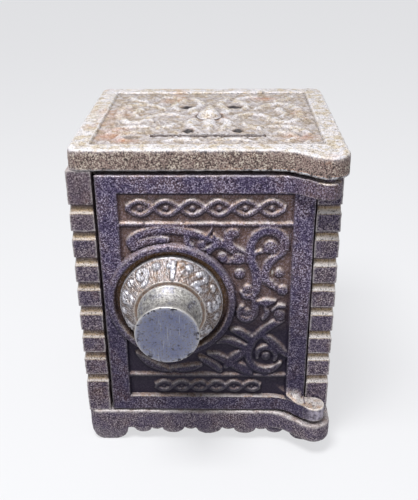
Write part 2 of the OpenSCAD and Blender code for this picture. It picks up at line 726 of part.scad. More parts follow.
module door() {
    color(iron) difference() {
        union() {
            difference() {
                translate([door_x0, door_y0, door_z0])
                    cube([door_x1 - door_x0, door_t, door_z1 - door_z0]);
                translate([field_x0, door_y0 - cut, field_z0])
                    cube([field_x1 - field_x0, field_depth + cut, field_z1 - field_z0]);
            }
            for (z = [bar_z0, bar_z1])
                translate([field_x0 - tiny, door_y0 + bar_back, z])
                    cube([field_x1 - field_x0 + 2 * tiny, field_depth, bar_w]);
            difference() {
                translate([field_x0, field_y + tiny, field_z0])
                    rotate([90, 0, 0])
                        linear_extrude(scroll_h)
                            scrollwork();
                on_axis(ring_r0 + ring_w / 2, ring_y - cut, field_y + cut);
            }
            on_axis(ring_r1, ring_y, field_y + tiny);
            on_axis(boss_r, door_y1 - tiny, boss_y);
            ear(ear_low[0], ear_low[1]);
            ear(ear_high[0], ear_high[1]);
            translate([pivot_x, pivot_y, base_h - pin_in])
                cylinder(r = pin_r, h = pin_in + ear_gap + overlap);
            translate([pivot_x, pivot_y, ear_high[1] - overlap])
                cylinder(r = pin_r, h = pin_in + gap_top + overlap);
        }
        on_axis(ring_r0, ring_y - cut, field_y);
        on_axis(spindle_r + run_fit, ring_y - cut, boss_y + cut);
    }
}

// Turned shape on the dial's axis from points [radius, distance in front of the case's centre plane]
module turned(points) {
    translate([dial_x, 0, dial_z])
        rotate([90, 0, 0])
            rotate_extrude()
                polygon(points);
}

module dial() {
    bore = spindle_r + seat_gap;
    seat_edge = 0.1;
    seat_r = knob_foot_r + seat_edge;
    color(nickel) turned([[bore, -dial_back_y], [dial_r, -dial_back_y], [dial_r, -dial_rim_y],
        [cone_r, -shoulder_y + seat_step], [seat_r, -shoulder_y + seat_step], [seat_r, -shoulder_y - seat_step],
        [bore, -shoulder_y - seat_step]]);
}

module knob() {
    bore = spindle_r + seat_gap;
    foot = -shoulder_y - seat_step;
    face = -knob_y;
    edge = 0.35;
    rim = 0.5;
    h0 = foot + seat_step + rim;
    h1 = face - edge - rim;
    n = 10;
    // The waist is an arc through the foot's rim, the waist and the face's rim
    waist = [for (i = [0:n]) let (t = i / n, bow = 4 * t * (1 - t), rim_r = knob_foot_r * (1 - t) + knob_r * t)
        [rim_r - bow * (rim_r - waist_r), h0 + (h1 - h0) * t]];
    color(nickel) turned(concat(
        [[bore, foot], [knob_foot_r, foot]],
        waist,
        [[knob_r, face - edge], [knob_r - edge, face], [0, face], [0, foot + spindle_in],
            [bore, foot + spindle_in]]
    ));
}

module spindle() {
    front = shoulder_y + seat_step - spindle_in + play;
    color(steel) union() {
        on_axis(spindle_r, front, drive_y - play);
        translate([dial_x - key_s / 2, drive_y - play - tiny, dial_z - key_s / 2])
            cube([key_s, wheel_t + play + tiny, key_s]);
        on_axis(stud_r, drive_end_y - tiny, drive_end_y + nut_t + stud_end);
    }
}

module spring_washer() {
    r0 = spindle_r + run_fit;
    h = -boss_y;
    color(steel) turned([[r0, h], [r0 + spring_flat, h], [hub_r, h - spring_h + spring_sheet],
        [hub_r, h - spring_h], [hub_r - spring_flat, h - spring_h], [r0, h - spring_sheet]]);
}

// A notched wheel whose gate points at the catch, with a hole for its pin. The children are its bore.
module wheel(y, pin_angle) {
    difference() {
        on_axis(wheel_r, y, y + wheel_t);
        translate([dial_x - wheel_r - cut, y - cut, dial_z - gate_w / 2])
            cube([gate_d + cut, wheel_t + 2 * cut, gate_w]);
        wheel_pin(pin_angle, y - cut, y + wheel_t + cut, rivet_r + seat_gap);
        children();
    }
}

module wheel_pin(a, y0, y1, r = rivet_r) {
    translate([rivet_at * cos(a), 0, rivet_at * sin(a)])
        on_axis(r, y0, y1);
}

module tumbler_1() {
    color(steel) wheel(wheel_1_y, pin_angles[2])
        on_axis(spindle_r + run_fit, wheel_1_y - cut, wheel_1_y + wheel_t + cut);
}

module tumbler_1_pin() {
    color(nickel) wheel_pin(pin_angles[2], wheel_1_y, wheel_1_y + wheel_t + pin_stand);
}

module tumbler_2() {
    color(steel) wheel(wheel_2_y, pin_angles[1])
        on_axis(spindle_r + run_fit, wheel_2_y - cut, wheel_2_y + wheel_t + cut);
}

module tumbler_2_pin() {
    color(nickel) wheel_pin(pin_angles[1], wheel_2_y - pin_stand, wheel_2_y + wheel_t + pin_stand);
}

module wheel_spacers() {
    color(nickel) for (y = [wheel_1_y, wheel_2_y])
        difference() {
            on_axis(hub_r, y + wheel_t + play, y + wheel_t + play + spacer_t);
            on_axis(spindle_r + run_fit, y + wheel_t, y + wheel_t + 2 * play + spacer_t);
        }
}

module drive_wheel() {
    hole = key_s + 2 * seat_gap;
    color(steel) wheel(drive_y, pin_angles[0])
        translate([dial_x - hole / 2, drive_y - cut, dial_z - hole / 2])
            cube([hole, wheel_t + 2 * cut, hole]);
}

module drive_pin() {
    color(nickel) wheel_pin(pin_angles[0], drive_y - pin_stand, drive_y + wheel_t);
}

module spindle_nut() {
    color(steel) difference() {
        translate([dial_x, drive_end_y + nut_t, dial_z])
            rotate([90, 0, 0])
                cylinder(r = nut_r, h = nut_t, $fn = 6);
        on_axis(stud_r + seat_gap, drive_end_y - cut, drive_end_y + nut_t + cut);
    }
}

base_plate();
top_plate();
left_wall();
right_wall();
back_wall();
tie_bolt();
tie_washer();
tie_nut();
door();
dial();
knob();
spindle();
spring_washer();
tumbler_1();
tumbler_1_pin();
tumbler_2();
tumbler_2_pin();
wheel_spacers();
drive_wheel();
drive_pin();
spindle_nut();
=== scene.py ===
import bpy
import numpy as np
from mathutils import Matrix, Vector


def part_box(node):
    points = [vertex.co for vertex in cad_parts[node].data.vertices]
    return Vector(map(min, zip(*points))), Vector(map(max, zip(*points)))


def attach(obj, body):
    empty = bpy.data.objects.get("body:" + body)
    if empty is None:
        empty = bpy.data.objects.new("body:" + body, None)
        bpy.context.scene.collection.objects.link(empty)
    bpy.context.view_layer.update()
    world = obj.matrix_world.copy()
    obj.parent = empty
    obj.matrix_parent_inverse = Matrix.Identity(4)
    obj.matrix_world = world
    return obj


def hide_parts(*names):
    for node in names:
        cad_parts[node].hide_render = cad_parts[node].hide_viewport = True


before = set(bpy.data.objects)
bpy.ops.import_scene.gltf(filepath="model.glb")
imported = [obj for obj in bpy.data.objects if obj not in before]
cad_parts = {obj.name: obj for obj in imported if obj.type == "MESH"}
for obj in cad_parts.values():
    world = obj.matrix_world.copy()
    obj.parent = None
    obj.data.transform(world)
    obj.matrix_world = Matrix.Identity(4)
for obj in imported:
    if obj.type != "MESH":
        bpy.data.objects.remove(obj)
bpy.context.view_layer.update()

# Base plate: one sand casting in grey iron, a deck whose scalloped skirt ends in four feet. A boss at the
# front right carries the door's lower pin, and low ribs on the deck locate the walls. All sizes are in
# millimetres, and build() turns them to metres.

base_half, base_front = 32.0, -28.5            # half width and front edge of the base plate
plate_back, base_top = 28.5, 9.6               # back edge of both plates, top of the base plate
base_shift = 0.2                               # the plate sits a little to the right of the walls
pivot_x = 27.8                                 # X of the door's axis
base_boss = (pivot_x - base_shift, -30.1, 4.4) # centre and radius of the plate's boss, before the shift
corner_r = 2.6
slope_angle, slope_bend = 37.0, 9.0            # the edge's way to the boss, in degrees, and the radius of its bend


def arc(x, y, r, a0, a1, n=20):
    """Points on a circle of radius r about (x, y), from angle a0 to a1 in degrees."""
    a = np.radians(np.linspace(a0, a1, n))
    return np.stack([x + r * np.cos(a), y + r * np.sin(a)], 1)


def swept(x, y, r, front):
    """A bend that leads from the edge at front to a straight slope, and on to where the slope touches the circle of
    radius r about (x, y). With slope a, it touches at (x - r sin a, y - r cos a) and the bend takes R tan(a / 2)."""
    a = np.radians(slope_angle)
    touch = np.array([x - r * np.sin(a), y - r * np.cos(a)])
    start = touch[0] - (front - touch[1]) / np.tan(a) - slope_bend * np.tan(a / 2)
    t = np.linspace(0, a, 16)
    along = np.linspace(0, 1, 12)[1:, None]
    curve = np.stack([start + slope_bend * np.sin(t), front - slope_bend * (1 - np.cos(t))], 1)
    return np.concatenate([curve, curve[-1] + (touch - curve[-1]) * along])


def resample(path, count):
    """count points evenly spaced by length along a polyline: the first point is among them and the last isn't."""
    s = np.concatenate([[0], np.cumsum(np.linalg.norm(np.diff(path, axis=0), axis=1))])
    t = np.arange(count) / count * s[-1]
    return np.stack([np.interp(t, s, path[:, k]) for k in range(path.shape[1])], 1)


def plate_outline(half_x, front, boss, counts):
    """Outline of a plate from above, counter-clockwise from the middle of its front left corner, in six runs
    that have as many points with a boss as without, so that the two outlines match point by point."""
    x, y, r = half_x, plate_back, corner_r
    side, begin = [x, -20.0], [15.0, front]    # where the runs on either side of the boss end and begin
    if boss:
        sweep = np.concatenate([[begin], swept(*boss, front)])
        corner, turn = boss, 270 - slope_angle
    else:
        sweep = np.array([begin])
        corner, turn = (x - r, front + r, r), 270
    runs = [
        np.concatenate([arc(-x + r, front + r, r, 225, 270), [begin]]),
        np.concatenate([sweep, arc(*corner, turn, 315)]),
        np.concatenate([arc(*corner, 315, 360), [side]]),
        np.concatenate([[side], arc(x - r, y - r, r, 0, 45)]),
        np.concatenate([arc(x - r, y - r, r, 45, 90), arc(-x + r, y - r, r, 90, 135)]),
        np.concatenate([arc(-x + r, y - r, r, 135, 180), arc(-x + r, front + r, r, 180, 225)]),
    ]
    return np.concatenate([resample(run, n) for run, n in zip(runs, counts)])


def outward(path):
    """Unit normals of a closed counter-clockwise outline: each is square to the chord between its point's two
    neighbours."""
    chord = np.roll(path, -1, 0) - np.roll(path, 1, 0)
    return np.stack([chord[:, 1], -chord[:, 0]], 1) / np.linalg.norm(chord, axis=1)[:, None]


def loft(rings):
    """Skin over a stack of closed rings: quads join each ring to the next, and one flat face closes either end."""
    rows, count = rings.shape[:2]
    at = np.arange(rows * count).reshape(rows, count)
    a, b = at[:-1], at[1:]
    quads = np.stack([a, np.roll(a, -1, 1), np.roll(b, -1, 1), b], -1).reshape(-1, 4)
    return rings.reshape(-1, 3), quads, [at[0, ::-1], at[-1]]


def ripple(p, size, seed):
    """Smooth random field of about -1 to 1: 14 sine waves about size mm long in seeded directions, summed."""
    rng = np.random.default_rng(seed)
    k = rng.normal(size=(14, 3))
    k *= rng.uniform(0.6, 1.7, (14, 1)) * 2 * np.pi / size / np.linalg.norm(k, axis=1)[:, None]
    return np.sin(p @ k.T + rng.uniform(0, 2 * np.pi, 14)).sum(1) / 14 ** 0.5


def volume(points, faces):
    """Signed volume inside faces that are fans about their first corner: a sixth of the sum of a . (b x c)."""
    return sum(np.einsum("ij,ij->", points[f[..., 0]], np.cross(points[f[..., k]], points[f[..., k + 1]]))
               for f in faces for k in range(1, f.shape[-1] - 1)) / 6


def bend(mesh, points):
    """Curvature at each vertex in 1/mm, positive on an outer edge: the mean over its edges of (n2 - n1) . (p2 - p1)
    divided by the edge's squared length, then averaged with its neighbours twice."""
    ends = np.empty(len(mesh.edges) * 2, int)
    mesh.edges.foreach_get("vertices", ends)
    a, b = ends.reshape(-1, 2).T
    normal = np.empty(len(points) * 3)
    mesh.vertex_normals.foreach_get("vector", normal)
    normal = normal.reshape(-1, 3)
    run = points[b] - points[a]
    value = ((normal[b] - normal[a]) * run).sum(1) / np.maximum((run ** 2).sum(1), 0.01)
    links = np.maximum(np.bincount(a, minlength=len(points)) + np.bincount(b, minlength=len(points)), 1)
    k = (np.bincount(a, value, len(points)) + np.bincount(b, value, len(points))) / links
    for _ in range(2):
        k = (k + (np.bincount(a, k[b], len(points)) + np.bincount(b, k[a], len(points))) / links) / 2
    return k


crease = np.radians(48)                        # an edge between faces that meet at more than this stays sharp
sharpest = 1.6                                 # curvature in 1/mm that counts in full as an edge or a corner


def build(name, shells, material, body, node, waves=0.05):
    """One piece from closed shells: (points, quads, other faces, relief, tint). Each shell is turned to face
    outwards. A casting's skin is moved by up to about waves mm, and held inside the box of the CAD node that it
    replaces. Relief and tint are values at the points, which the material reads."""
    points, faces, relief, tint, start = [], [], [], [], 0
    for shell in shells:
        p, quads, rest = shell[:3]
        if volume(p, [quads] + [np.asarray(f)[None] for f in rest]) < 0:
            quads, rest = quads[:, ::-1], [f[::-1] for f in rest]
        points.append(p)
        faces += (quads + start).tolist() + [(np.asarray(f) + start).tolist() for f in rest]
        relief.append(shell[3] if len(shell) > 3 else np.ones(len(p)))
        tint.append(shell[4] if len(shell) > 4 else np.zeros(len(p)))
        start += len(p)
    p = np.concatenate(points)
    if waves:
        for size, seeds, share in ((7, (11, 12, 13), 1), (1.6, (14, 15, 16), 0.6)):
            p = p + waves * share * np.stack([ripple(p, size, seed) for seed in seeds], 1)
    low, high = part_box(node)
    p = np.clip(p, np.array(low) * 1000, np.array(high) * 1000)
    mesh = bpy.data.meshes.new(name)
    mesh.from_pydata((p / 1000).tolist(), [], faces)
    mesh.polygons.foreach_set("use_smooth", [True] * len(mesh.polygons))
    mesh.set_sharp_from_angle(angle=crease)
    k = bend(mesh, p) / sharpest
    values = {"relief": np.concatenate(relief), "tint": np.concatenate(tint)}
    values.update(edge=np.clip(k, 0, 1), nook=np.clip(-k, 0, 1))
    for key, value in values.items():
        mesh.attributes.new(key, "FLOAT", "POINT").data.foreach_set("value", value.astype(np.float32))
    piece = bpy.data.objects.new(name, mesh)
    bpy.context.scene.collection.objects.link(piece)
    mesh.materials.append(material)
    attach(piece, body)
    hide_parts(node)


def linear(hex_colour):
    """An sRGB hex value as linear RGBA: c / 12.92 below 0.04045, and ((c + 0.055) / 1.055) ** 2.4 above."""
    c = np.array([int(hex_colour[i:i + 2], 16) for i in (1, 3, 5)]) / 255
    return (*np.where(c < 0.04045, c / 12.92, ((c + 0.055) / 1.055) ** 2.4), 1)


def node(tree, kind, inputs={}, **settings):
    """Adds a node to a material. An input is a value, or another node's output that is linked to it."""
    added = tree.nodes.new(kind)
    for key, value in settings.items():
        setattr(added, key, value)
    for key, value in inputs.items():
        if isinstance(value, bpy.types.NodeSocket):
            tree.links.new(value, added.inputs[key])
        else:
            added.inputs[key].default_value = value
    return added


def metal_finish(name, noises, values, ground, layers, rough, shine, bumps):
    """A metal under thin layers of colour. Each layer covers those before it by the product of its terms, and a term
    (field, a, b, low, high) runs from low to high while the field runs from a to b. A field is a noise on Object
    coordinates, given as (size in mm, detail, roughness), or a value: one that build() keeps in the mesh, the tilt of
    the face or its height. Three sizes in place of one draw the noise out along slanting axes. Where a layer's colour
    is a tuple, its term mixes its two colours. The metallic value is shine's first number plus the product of its
    terms, and each bump is (field, strength, distance)."""
    material = bpy.data.materials.new(name)
    material.use_nodes = True
    tree = material.node_tree
    tree.nodes.clear()
    place = node(tree, "ShaderNodeTexCoord").outputs["Object"]
    fields = {}
    for key, (size, detail, roughness) in noises.items():
        vector, scale = place, 1000 / np.array(size)
        if scale.ndim:
            stretch = {"Vector": place, "Rotation": (0, 0.5, 0), "Scale": tuple(scale)}
            vector, scale = node(tree, "ShaderNodeMapping", stretch).outputs[0], 1.0
        pattern = {"Vector": vector, "Scale": scale, "Detail": detail, "Roughness": roughness}
        fields[key] = node(tree, "ShaderNodeTexNoise", pattern).outputs["Fac"]
    for key in values:
        if key in ("tilt", "height"):
            vector = node(tree, "ShaderNodeNewGeometry").outputs["Normal"] if key == "tilt" else place
            fields[key] = node(tree, "ShaderNodeSeparateXYZ", {0: vector}).outputs["Z"]
        else:
            fields[key] = node(tree, "ShaderNodeAttribute", attribute_name=key).outputs["Fac"]

    def share(terms):
        """The product of the terms, each a range of its field."""
        result = None
        for field, a, b, low, high in terms:
            term = node(tree, "ShaderNodeMapRange", {0: fields[field], 1: a, 2: b, 3: low, 4: high}).outputs[0]
            if result is not None:
                term = node(tree, "ShaderNodeMath", {0: result, 1: term}, operation="MULTIPLY").outputs[0]
            result = term
        return result

    colour = linear(ground)
    for paint, *terms in layers:
        if isinstance(paint, tuple):
            parts = {0: share([paint[2]]), 6: linear(paint[0]), 7: linear(paint[1])}
            over = node(tree, "ShaderNodeMix", parts, data_type="RGBA").outputs[2]
        else:
            over = linear(paint)
        colour = node(tree, "ShaderNodeMix", {0: share(terms), 6: colour, 7: over}, data_type="RGBA").outputs[2]
    normal = {}
    for field, strength, distance in bumps:
        bump = {"Strength": strength, "Distance": distance, "Height": fields[field], **normal}
        normal = {"Normal": node(tree, "ShaderNodeBump", bump).outputs["Normal"]}
    metallic, *terms = shine
    if terms:
        metallic = node(tree, "ShaderNodeMath", {0: share(terms), 1: metallic}, operation="ADD").outputs[0]
    surface = {"Base Color": colour, "Roughness": share([rough]), "Metallic": metallic, **normal}
    shader = node(tree, "ShaderNodeBsdfPrincipled", surface)
    tree.links.new(shader.outputs[0], node(tree, "ShaderNodeOutputMaterial").inputs[0])
    return material


def cast_iron(name, raised, hollow, upper, second, dark, glint, rust, accent, lift, wear, metal=0.35, painted_low_shade=0.0):
    """Sand-cast grey iron under the remains of its japan. The sand leaves grains of a third of a millimetre, some
    bright and some dark, and the bright ones are painted glints. The lacquer goes brown, painted shade darkens the
    corners and the faces that look down, and faces that look up are painted paler as light from above. lift is how
    pale those are, wear how bare the edges are, and soot how dark the casting is painted below 50 mm, as shade."""
    noises = {"grain": (0.34, 1.5, 0.6), "grit": (0.9, 3, 0.6), "mottle": (2.2, 4, 0.65), "patch": (5, 4, 0.65),
              "stain": (19, 5, 0.7)}
    painted_light_reach = [("relief", 0.3, 0.95, 0.35, 1), ("tint", -0.3, 0, 0.25, 1)]
    coarse = [("relief", 0.1, 0.85, 0.4, 1), ("tilt", 0.1, 0.75, 1, 0.65)]
    rubbed = ("grit", 0.3, 0.6, 0.35, 1)
    layers = [
        # Lacquer on the relief and in the hollows, painted pale where faces look up as light from above, the tint's
        # colour as painted light on the pilasters' slopes and at one spot of the door, and as brass and rust elsewhere,
        # and rust in patches
        (raised, ("relief", 0.25, 0.85, 0, 1)),
        (hollow, ("patch", 0.44, 0.66, 0, 0.5)),
        ((upper, second, ("mottle", 0.44, 0.6, 0, 1)), ("tilt", 0.1, 0.75, 0, lift), *painted_light_reach),
        (accent, ("tint", 0, 1, 0, 1), ("grit", 0.3, 0.6, 1, 0.6)),
        (rust, ("stain", 0.56, 0.7, 0, 0.6)),
        # Painted shade in corners and under ledges, and dark small pits
        (dark, ("nook", 0, 1, 0, 0.85)),
        (dark, ("tilt", -0.12, -0.6, 0, 0.6)),
        (dark, ("grit", 0.38, 0.3, 0, 0.7)),
        # Pale past a tint of 1: painted highlights on the pilasters' crests and in the door's field, and the top's
        # rubbed arris
        (upper, ("tint", 1, 1.6, 0, 1)),
        # The sand's grains, dark and bright; the bright ones are painted glints
        (dark, ("grain", 0.48, 0.35, 0, 0.95), *coarse),
        (glint, ("grain", 0.53, 0.66, 0, 1), ("patch", 0.35, 0.62, 0.4, 1), *coarse),
        # Painted shade low down, then what hands and edges have rubbed bare, and the marks for deep shadow
        (dark, ("height", 0.05, 0.034, 0, painted_low_shade), ("tilt", 0.165, 0.62, 1, 0.4), ("relief", 0.85, 1, 0.95, 0.5)),
        (glint, ("relief", 1, 1.5, 0, 1), ("tilt", 0.1, 0.49, 1, 0), ("grit", 0.35, 0.6, 0.1, 0.7)),
        (upper, ("edge", 0.1, 0.8, 0, 1), rubbed, ("relief", 1, 1.5, wear, 0.9)),
        (dark, ("tint", -0.35, -1, 0, 1)),
    ]
    values = ("relief", "edge", "nook", "tint", "tilt", "height")
    shine = (metal, ("edge", 0.1, 0.8, 0, 0.15), rubbed)
    bumps = (("grit", 0.5, 0.0002), ("grain", 0.55, 0.00012))
    return metal_finish(name, noises, values, hollow, layers, ("grain", 0.35, 0.7, 0.7, 0.5), shine, bumps)


# Purplish brown lacquer with ledges painted pale as light from above and rust in patches, rough and barely shiny
case_iron = cast_iron(
    "japanned_cast_iron", raised="#5d5168", hollow="#766466", upper="#d8d2ce", second="#a38f80", dark="#1f1923",
    glint="#b8adb0", rust="#70492f", accent="#c4a97f", lift=0.6, wear=0.65)

skirt_counts = [132, 52, 40, 130, 176, 160]
skirt = plate_outline(base_half, base_front, None, skirt_counts)
band = plate_outline(base_half, base_front, base_boss, skirt_counts)
skirt_out = outward(skirt)
band_out = outward(band)

skirt_edge, foot_x, foot_half, foot_rise = 3.9, 26.8, 4.0, 4.6
lobes = [(-17.6, 2.3, 1.5), (-13.9, 1.2, 0.5), (-9.5, 2.9, 1.7), (-4.9, 1.3, 0.45), (0.3, 3.3, 1.9),
         (5.4, 1.3, 0.45), (9.9, 2.9, 1.7), (14.3, 1.2, 0.5), (17.9, 2.3, 1.5)]   # place, half width, drop


def skirt_low(path):
    """Height of the skirt's lower edge. On each side half ellipses hang from a straight line. The feet are half
    ellipses with a flat bottom, at the ends of the front and the back, and their outer half runs up to foot_rise."""
    front = np.abs(path[:, 1]) > plate_back - corner_r
    u = np.where(front, path[:, 0], path[:, 1] * 0.9)
    low = np.full(len(u), skirt_edge)
    for middle, half, drop in lobes:
        low = np.minimum(low, skirt_edge - drop * np.sqrt(np.clip(1 - ((u - middle) / half) ** 2, 0, 1)))
    off = (np.abs(u) - foot_x) / foot_half
    away = np.clip(np.abs(off) - 0.3, 0, 1)
    foot = np.where(off > 0, foot_rise, skirt_edge) * (1 - np.sqrt(np.clip(1 - away ** 2, 0, 1)))
    beside = skirt_edge + 0.7 * np.clip((np.abs(path[:, 1]) - 23) / 2.9, 0, 1) ** 2
    side = np.minimum(low, beside) + np.where(low < skirt_edge, 0, beside - skirt_edge)
    return np.where(front, np.where(off > 0, foot, np.minimum(low, foot)), side)


def ring(flat, normals, inset, z):
    """One ring of points: an outline drawn in by inset, at the height z, which may differ from point to point."""
    at = flat - normals * inset
    return np.column_stack([at, np.broadcast_to(z, len(at))])


# Rings from the deck's underside down inside the skirt, round its lower edge, out to the lip and up to the deck
low = skirt_low(skirt)
lip_z, skirt_t = 4.33, 2.4
base_rings = [ring(skirt, skirt_out, skirt_t, z) for z in (6.4, 5.3)]
for inset, lift in ((skirt_t, 0.5), (2.3, 0.15), (2.0, 0.0), (0.5, 0.0), (0.2, 0.06), (0.05, 0.2), (0.0, 0.38)):
    base_rings.append(ring(skirt, skirt_out, inset, low + lift))
for share, z in ((0, lip_z), (0.02, 4.4), (0.12, 4.48), (0.4, 4.56), (0.7, 4.62), (0.9, 4.68), (0.98, 4.76), (1, 4.95)):
    out = skirt + (band - skirt) * share
    base_rings.append(ring(out, skirt_out, 0, np.maximum(z, low + 0.4 + (z - lip_z) * 0.3)))
for z in (5.4, 5.9, 6.4, 6.9, 7.4, 7.9, 8.3, 8.55):
    base_rings.append(ring(band, band_out, 0, z))
for inset, z in ((0.0, 8.85), (0.03, 9.02), (0.09, 9.18), (0.18, 9.32), (0.32, 9.44), (0.5, 9.53), (0.72, 9.58),
                 (1.0, base_top), (1.3, base_top), (2.2, base_top)):
    base_rings.append(ring(band, band_out, inset, z))
base = np.array(base_rings)
base[..., 0] += base_shift
rib_x, rib_y = 27.95, (-24.4, 22.05)           # outer faces of the ribs
rib_wide, rib_high, sunk = 1.6, 1.8, 0.2       # sunk is how far they reach into the plate


def rib_frame(z0, z1):
    """Square tube of ribs round the coin space: a section with four corners, carried round a rectangle."""
    x, (y0, y1) = rib_x, rib_y
    flat = [np.array([[-x + d, y0 + d], [x - d, y0 + d], [x - d, y1 - d], [-x + d, y1 - d]]) for d in (0, rib_wide)]
    section = [(0, z0), (0, z1), (1, z1), (1, z0)]
    rings = np.array([np.column_stack([flat[i], np.full(4, z)]) for i, z in section])
    at = np.arange(16).reshape(4, 4)
    turn = np.roll(at, -1, 0)
    return rings.reshape(-1, 3), np.stack([at, np.roll(at, -1, 1), np.roll(turn, -1, 1), turn], -1).reshape(-1, 4), []


base_ribs = rib_frame(base_top - sunk, base_top + rib_high)
build("base_plate_casting", [loft(base), base_ribs], case_iron, "case", "base_plate")

# Side walls: two castings in grey iron, each a panelled sheet between a front and a back pilaster. The
# pilasters are cast as courses of blocks with sloped tops, and the sheet's panel has scrolls in low relief.
# The left wall also carries the stop behind the door's edge and the catch for the lock.

half_w, half_d, wall_top = 31.7, 28.0, 77.3    # outside and top of the walls
inner_x, pil_y = 28.2, 24.8                    # inside of the side walls, inner face of the pilasters
pil_w, sheet_depth, panel_recess = 5.8, 0.9, 0.7
first_groove, course, block_face = 21.3, 6.84, 4.44                  # a course is a block's face and the slope on it
side_share = 0.33                              # the blocks' relief on the outer side, as a share of that in front
panel_low, panel_high = 16.1, 70.8
edge_r = 0.35


def smooth_line(path, step=0.12):
    """A Catmull-Rom curve through the rows of path, sampled about every step mm. All columns are carried along."""
    p = np.array([path[0], *path, path[-1]], float)
    parts = []
    for a, b, c, d in zip(p[:-3], p[1:-2], p[2:-1], p[3:]):
        t = np.linspace(0, 1, max(2, int(np.hypot(*(c - b)[:2]) / step)), endpoint=False)[:, None]
        square, cube = (2 * a - 5 * b + 4 * c - d) * t ** 2, (3 * b - a - 3 * c + d) * t ** 3
        parts.append(0.5 * (2 * b + (c - a) * t + square + cube))
    return np.concatenate(parts + [p[-1:]])


def bands(u, v, paths, height):
    """Relief of full-rounded bands that follow paths of (u, v, half width): height * sqrt(1 - (d / w) ** 4) at the
    distance d from the middle of a band w to either side. Where bands meet, the higher one shows."""
    relief = np.zeros(u.shape)
    for path in paths:
        line = smooth_line(path)
        reach = line[:, 2].max()
        near = ((u > line[:, 0].min() - reach) & (u < line[:, 0].max() + reach)
                & (v > line[:, 1].min() - reach) & (v < line[:, 1].max() + reach))
        if near.any():
            d2 = (u[near][:, None] - line[:, 0]) ** 2 + (v[near][:, None] - line[:, 1]) ** 2
            fall = (d2 / line[:, 2] ** 2).min(1)
            relief[near] = np.maximum(relief[near], height * np.sqrt(np.clip(1 - fall ** 2, 0, 1)))
    return relief


def domes(u, v, seeds, height=1.0):
    """Relief of round seed heads (u, v, radius r): height * r * sqrt(1 - (d / r) ** 3) at the distance d from the
    middle."""
    relief = np.zeros(u.shape)
    for x, y, r in seeds:
        off = np.hypot(u - x, v - y) / r
        relief = np.maximum(relief, height * r * np.sqrt(np.clip(1 - off ** 3, 0, None)))
    return relief


def soften(h, times=1):
    """Runs a 1-2-1 average along both directions of a grid, as sand rounds the edges of a casting."""
    for _ in range(times):
        q = np.pad(h, 1, mode="edge")
        q = (q[:-2] + 2 * q[1:-1] + q[2:]) / 4
        h = (q[:, :-2] + 2 * q[:, 1:-1] + q[:, 2:]) / 4
    return h


def panel_ornament(u, v, wide, high):
    """Traditional scrolls in low relief, the same in all four quarters: a rosette in the middle, a C-scroll in each
    quarter and leaves on both axes. u and v are measured from the panel's middle and scaled to its half sizes."""
    a, b = np.abs(u) * 17 / wide, np.abs(v) * 27 / high
    quarter = [
        [(3.4, 3.2, 0.5), (6.4, 4.6, 0.9), (8.6, 7.6, 1), (8.8, 11.2, 1), (6.8, 13.8, 0.9), (3.9, 13.6, 0.8),
         (3.1, 11.2, 0.7), (4.8, 10, 0.5)],
        [(9.2, 8.4, 0.5), (11.8, 11.4, 0.9), (13.6, 15.4, 1), (13.2, 19.8, 1), (10.4, 22.6, 0.9), (7.2, 21.8, 0.8),
         (6.8, 19, 0.7), (9, 18.2, 0.6)],
        [(13.4, 1.2, 0.5), (14.6, 4.2, 0.9), (13.4, 7.2, 0.8), (11.4, 7.8, 0.4)],
        [(13.8, 21.2, 0.4), (15.2, 23.4, 0.8), (14.4, 25.4, 0.5)],
        [(1.1, 16.4, 0.4), (3, 19.4, 0.9), (2.4, 22.8, 0.8), (0.6, 25.2, 0.4)],
        [(4.8, 16.6, 0.4), (6.2, 15.4, 0.8), (8.4, 15.6, 0.4)],
        [(0.2, 5.4, 0.7), (0.4, 8.4, 0.9), (0.2, 12.4, 0.3)],
        [(5.2, 0.2, 0.4), (8.2, 0.4, 0.9), (11.6, 0.2, 0.3)],
    ]
    r, angle = np.hypot(u, v), np.arctan2(v, u)
    petals = 0.55 * np.clip(1 - ((r - 2.4 - 0.5 * np.cos(8 * angle)) / 1.5) ** 2, 0, 1) ** 0.5
    seeds = [(0, 0, 1.1), (5, 11.6, 1.2), (9.2, 20, 1.3), (12.2, 6, 0.9)]
    return np.maximum(np.maximum(bands(a, b, quarter, 0.6), petals), domes(a, b, seeds, 0.6))


def sunk_panel(u, z, wide):
    """Depth of a wall's face at u across and z up: its panel is sunk by panel_recess, less the scrolls in it."""
    middle, high = (panel_low + panel_high) / 2, (panel_high - panel_low) / 2
    inside = (np.abs(u) < wide) & (z > panel_low) & (z < panel_high)
    return soften(np.where(inside, panel_recess - panel_ornament(u, z - middle, wide, high), 0), 2)


def carried_up(flat, z):
    """The points of flat at every height z, as one ring for each."""
    shape = len(z), len(flat)
    return np.concatenate([np.broadcast_to(flat, (*shape, 2)), np.broadcast_to(z[:, None, None], (*shape, 1))], 2)


def course_depth(z):
    """Depth of a pilaster's face behind its blocks: 0 on a block's face, then a hollow slope up to the next groove,
    whose depth is 1 - (1 - t) ** 1.8 of the whole at the share t of its height."""
    t = np.where(z < first_groove, z - first_groove + course, (z - first_groove) % course)
    t = np.clip((t - block_face) / (course - block_face), 0, 1)
    depth = sheet_depth * (1 - (1 - t) ** 1.8)
    return np.where((z < first_groove - course + block_face) | (z > first_groove + 7 * course), 0, depth)


def stretch(*columns):
    """Rows of an outline's points, each with the way it moves inwards, from columns or single values."""
    return np.column_stack(np.broadcast_arrays(*columns))


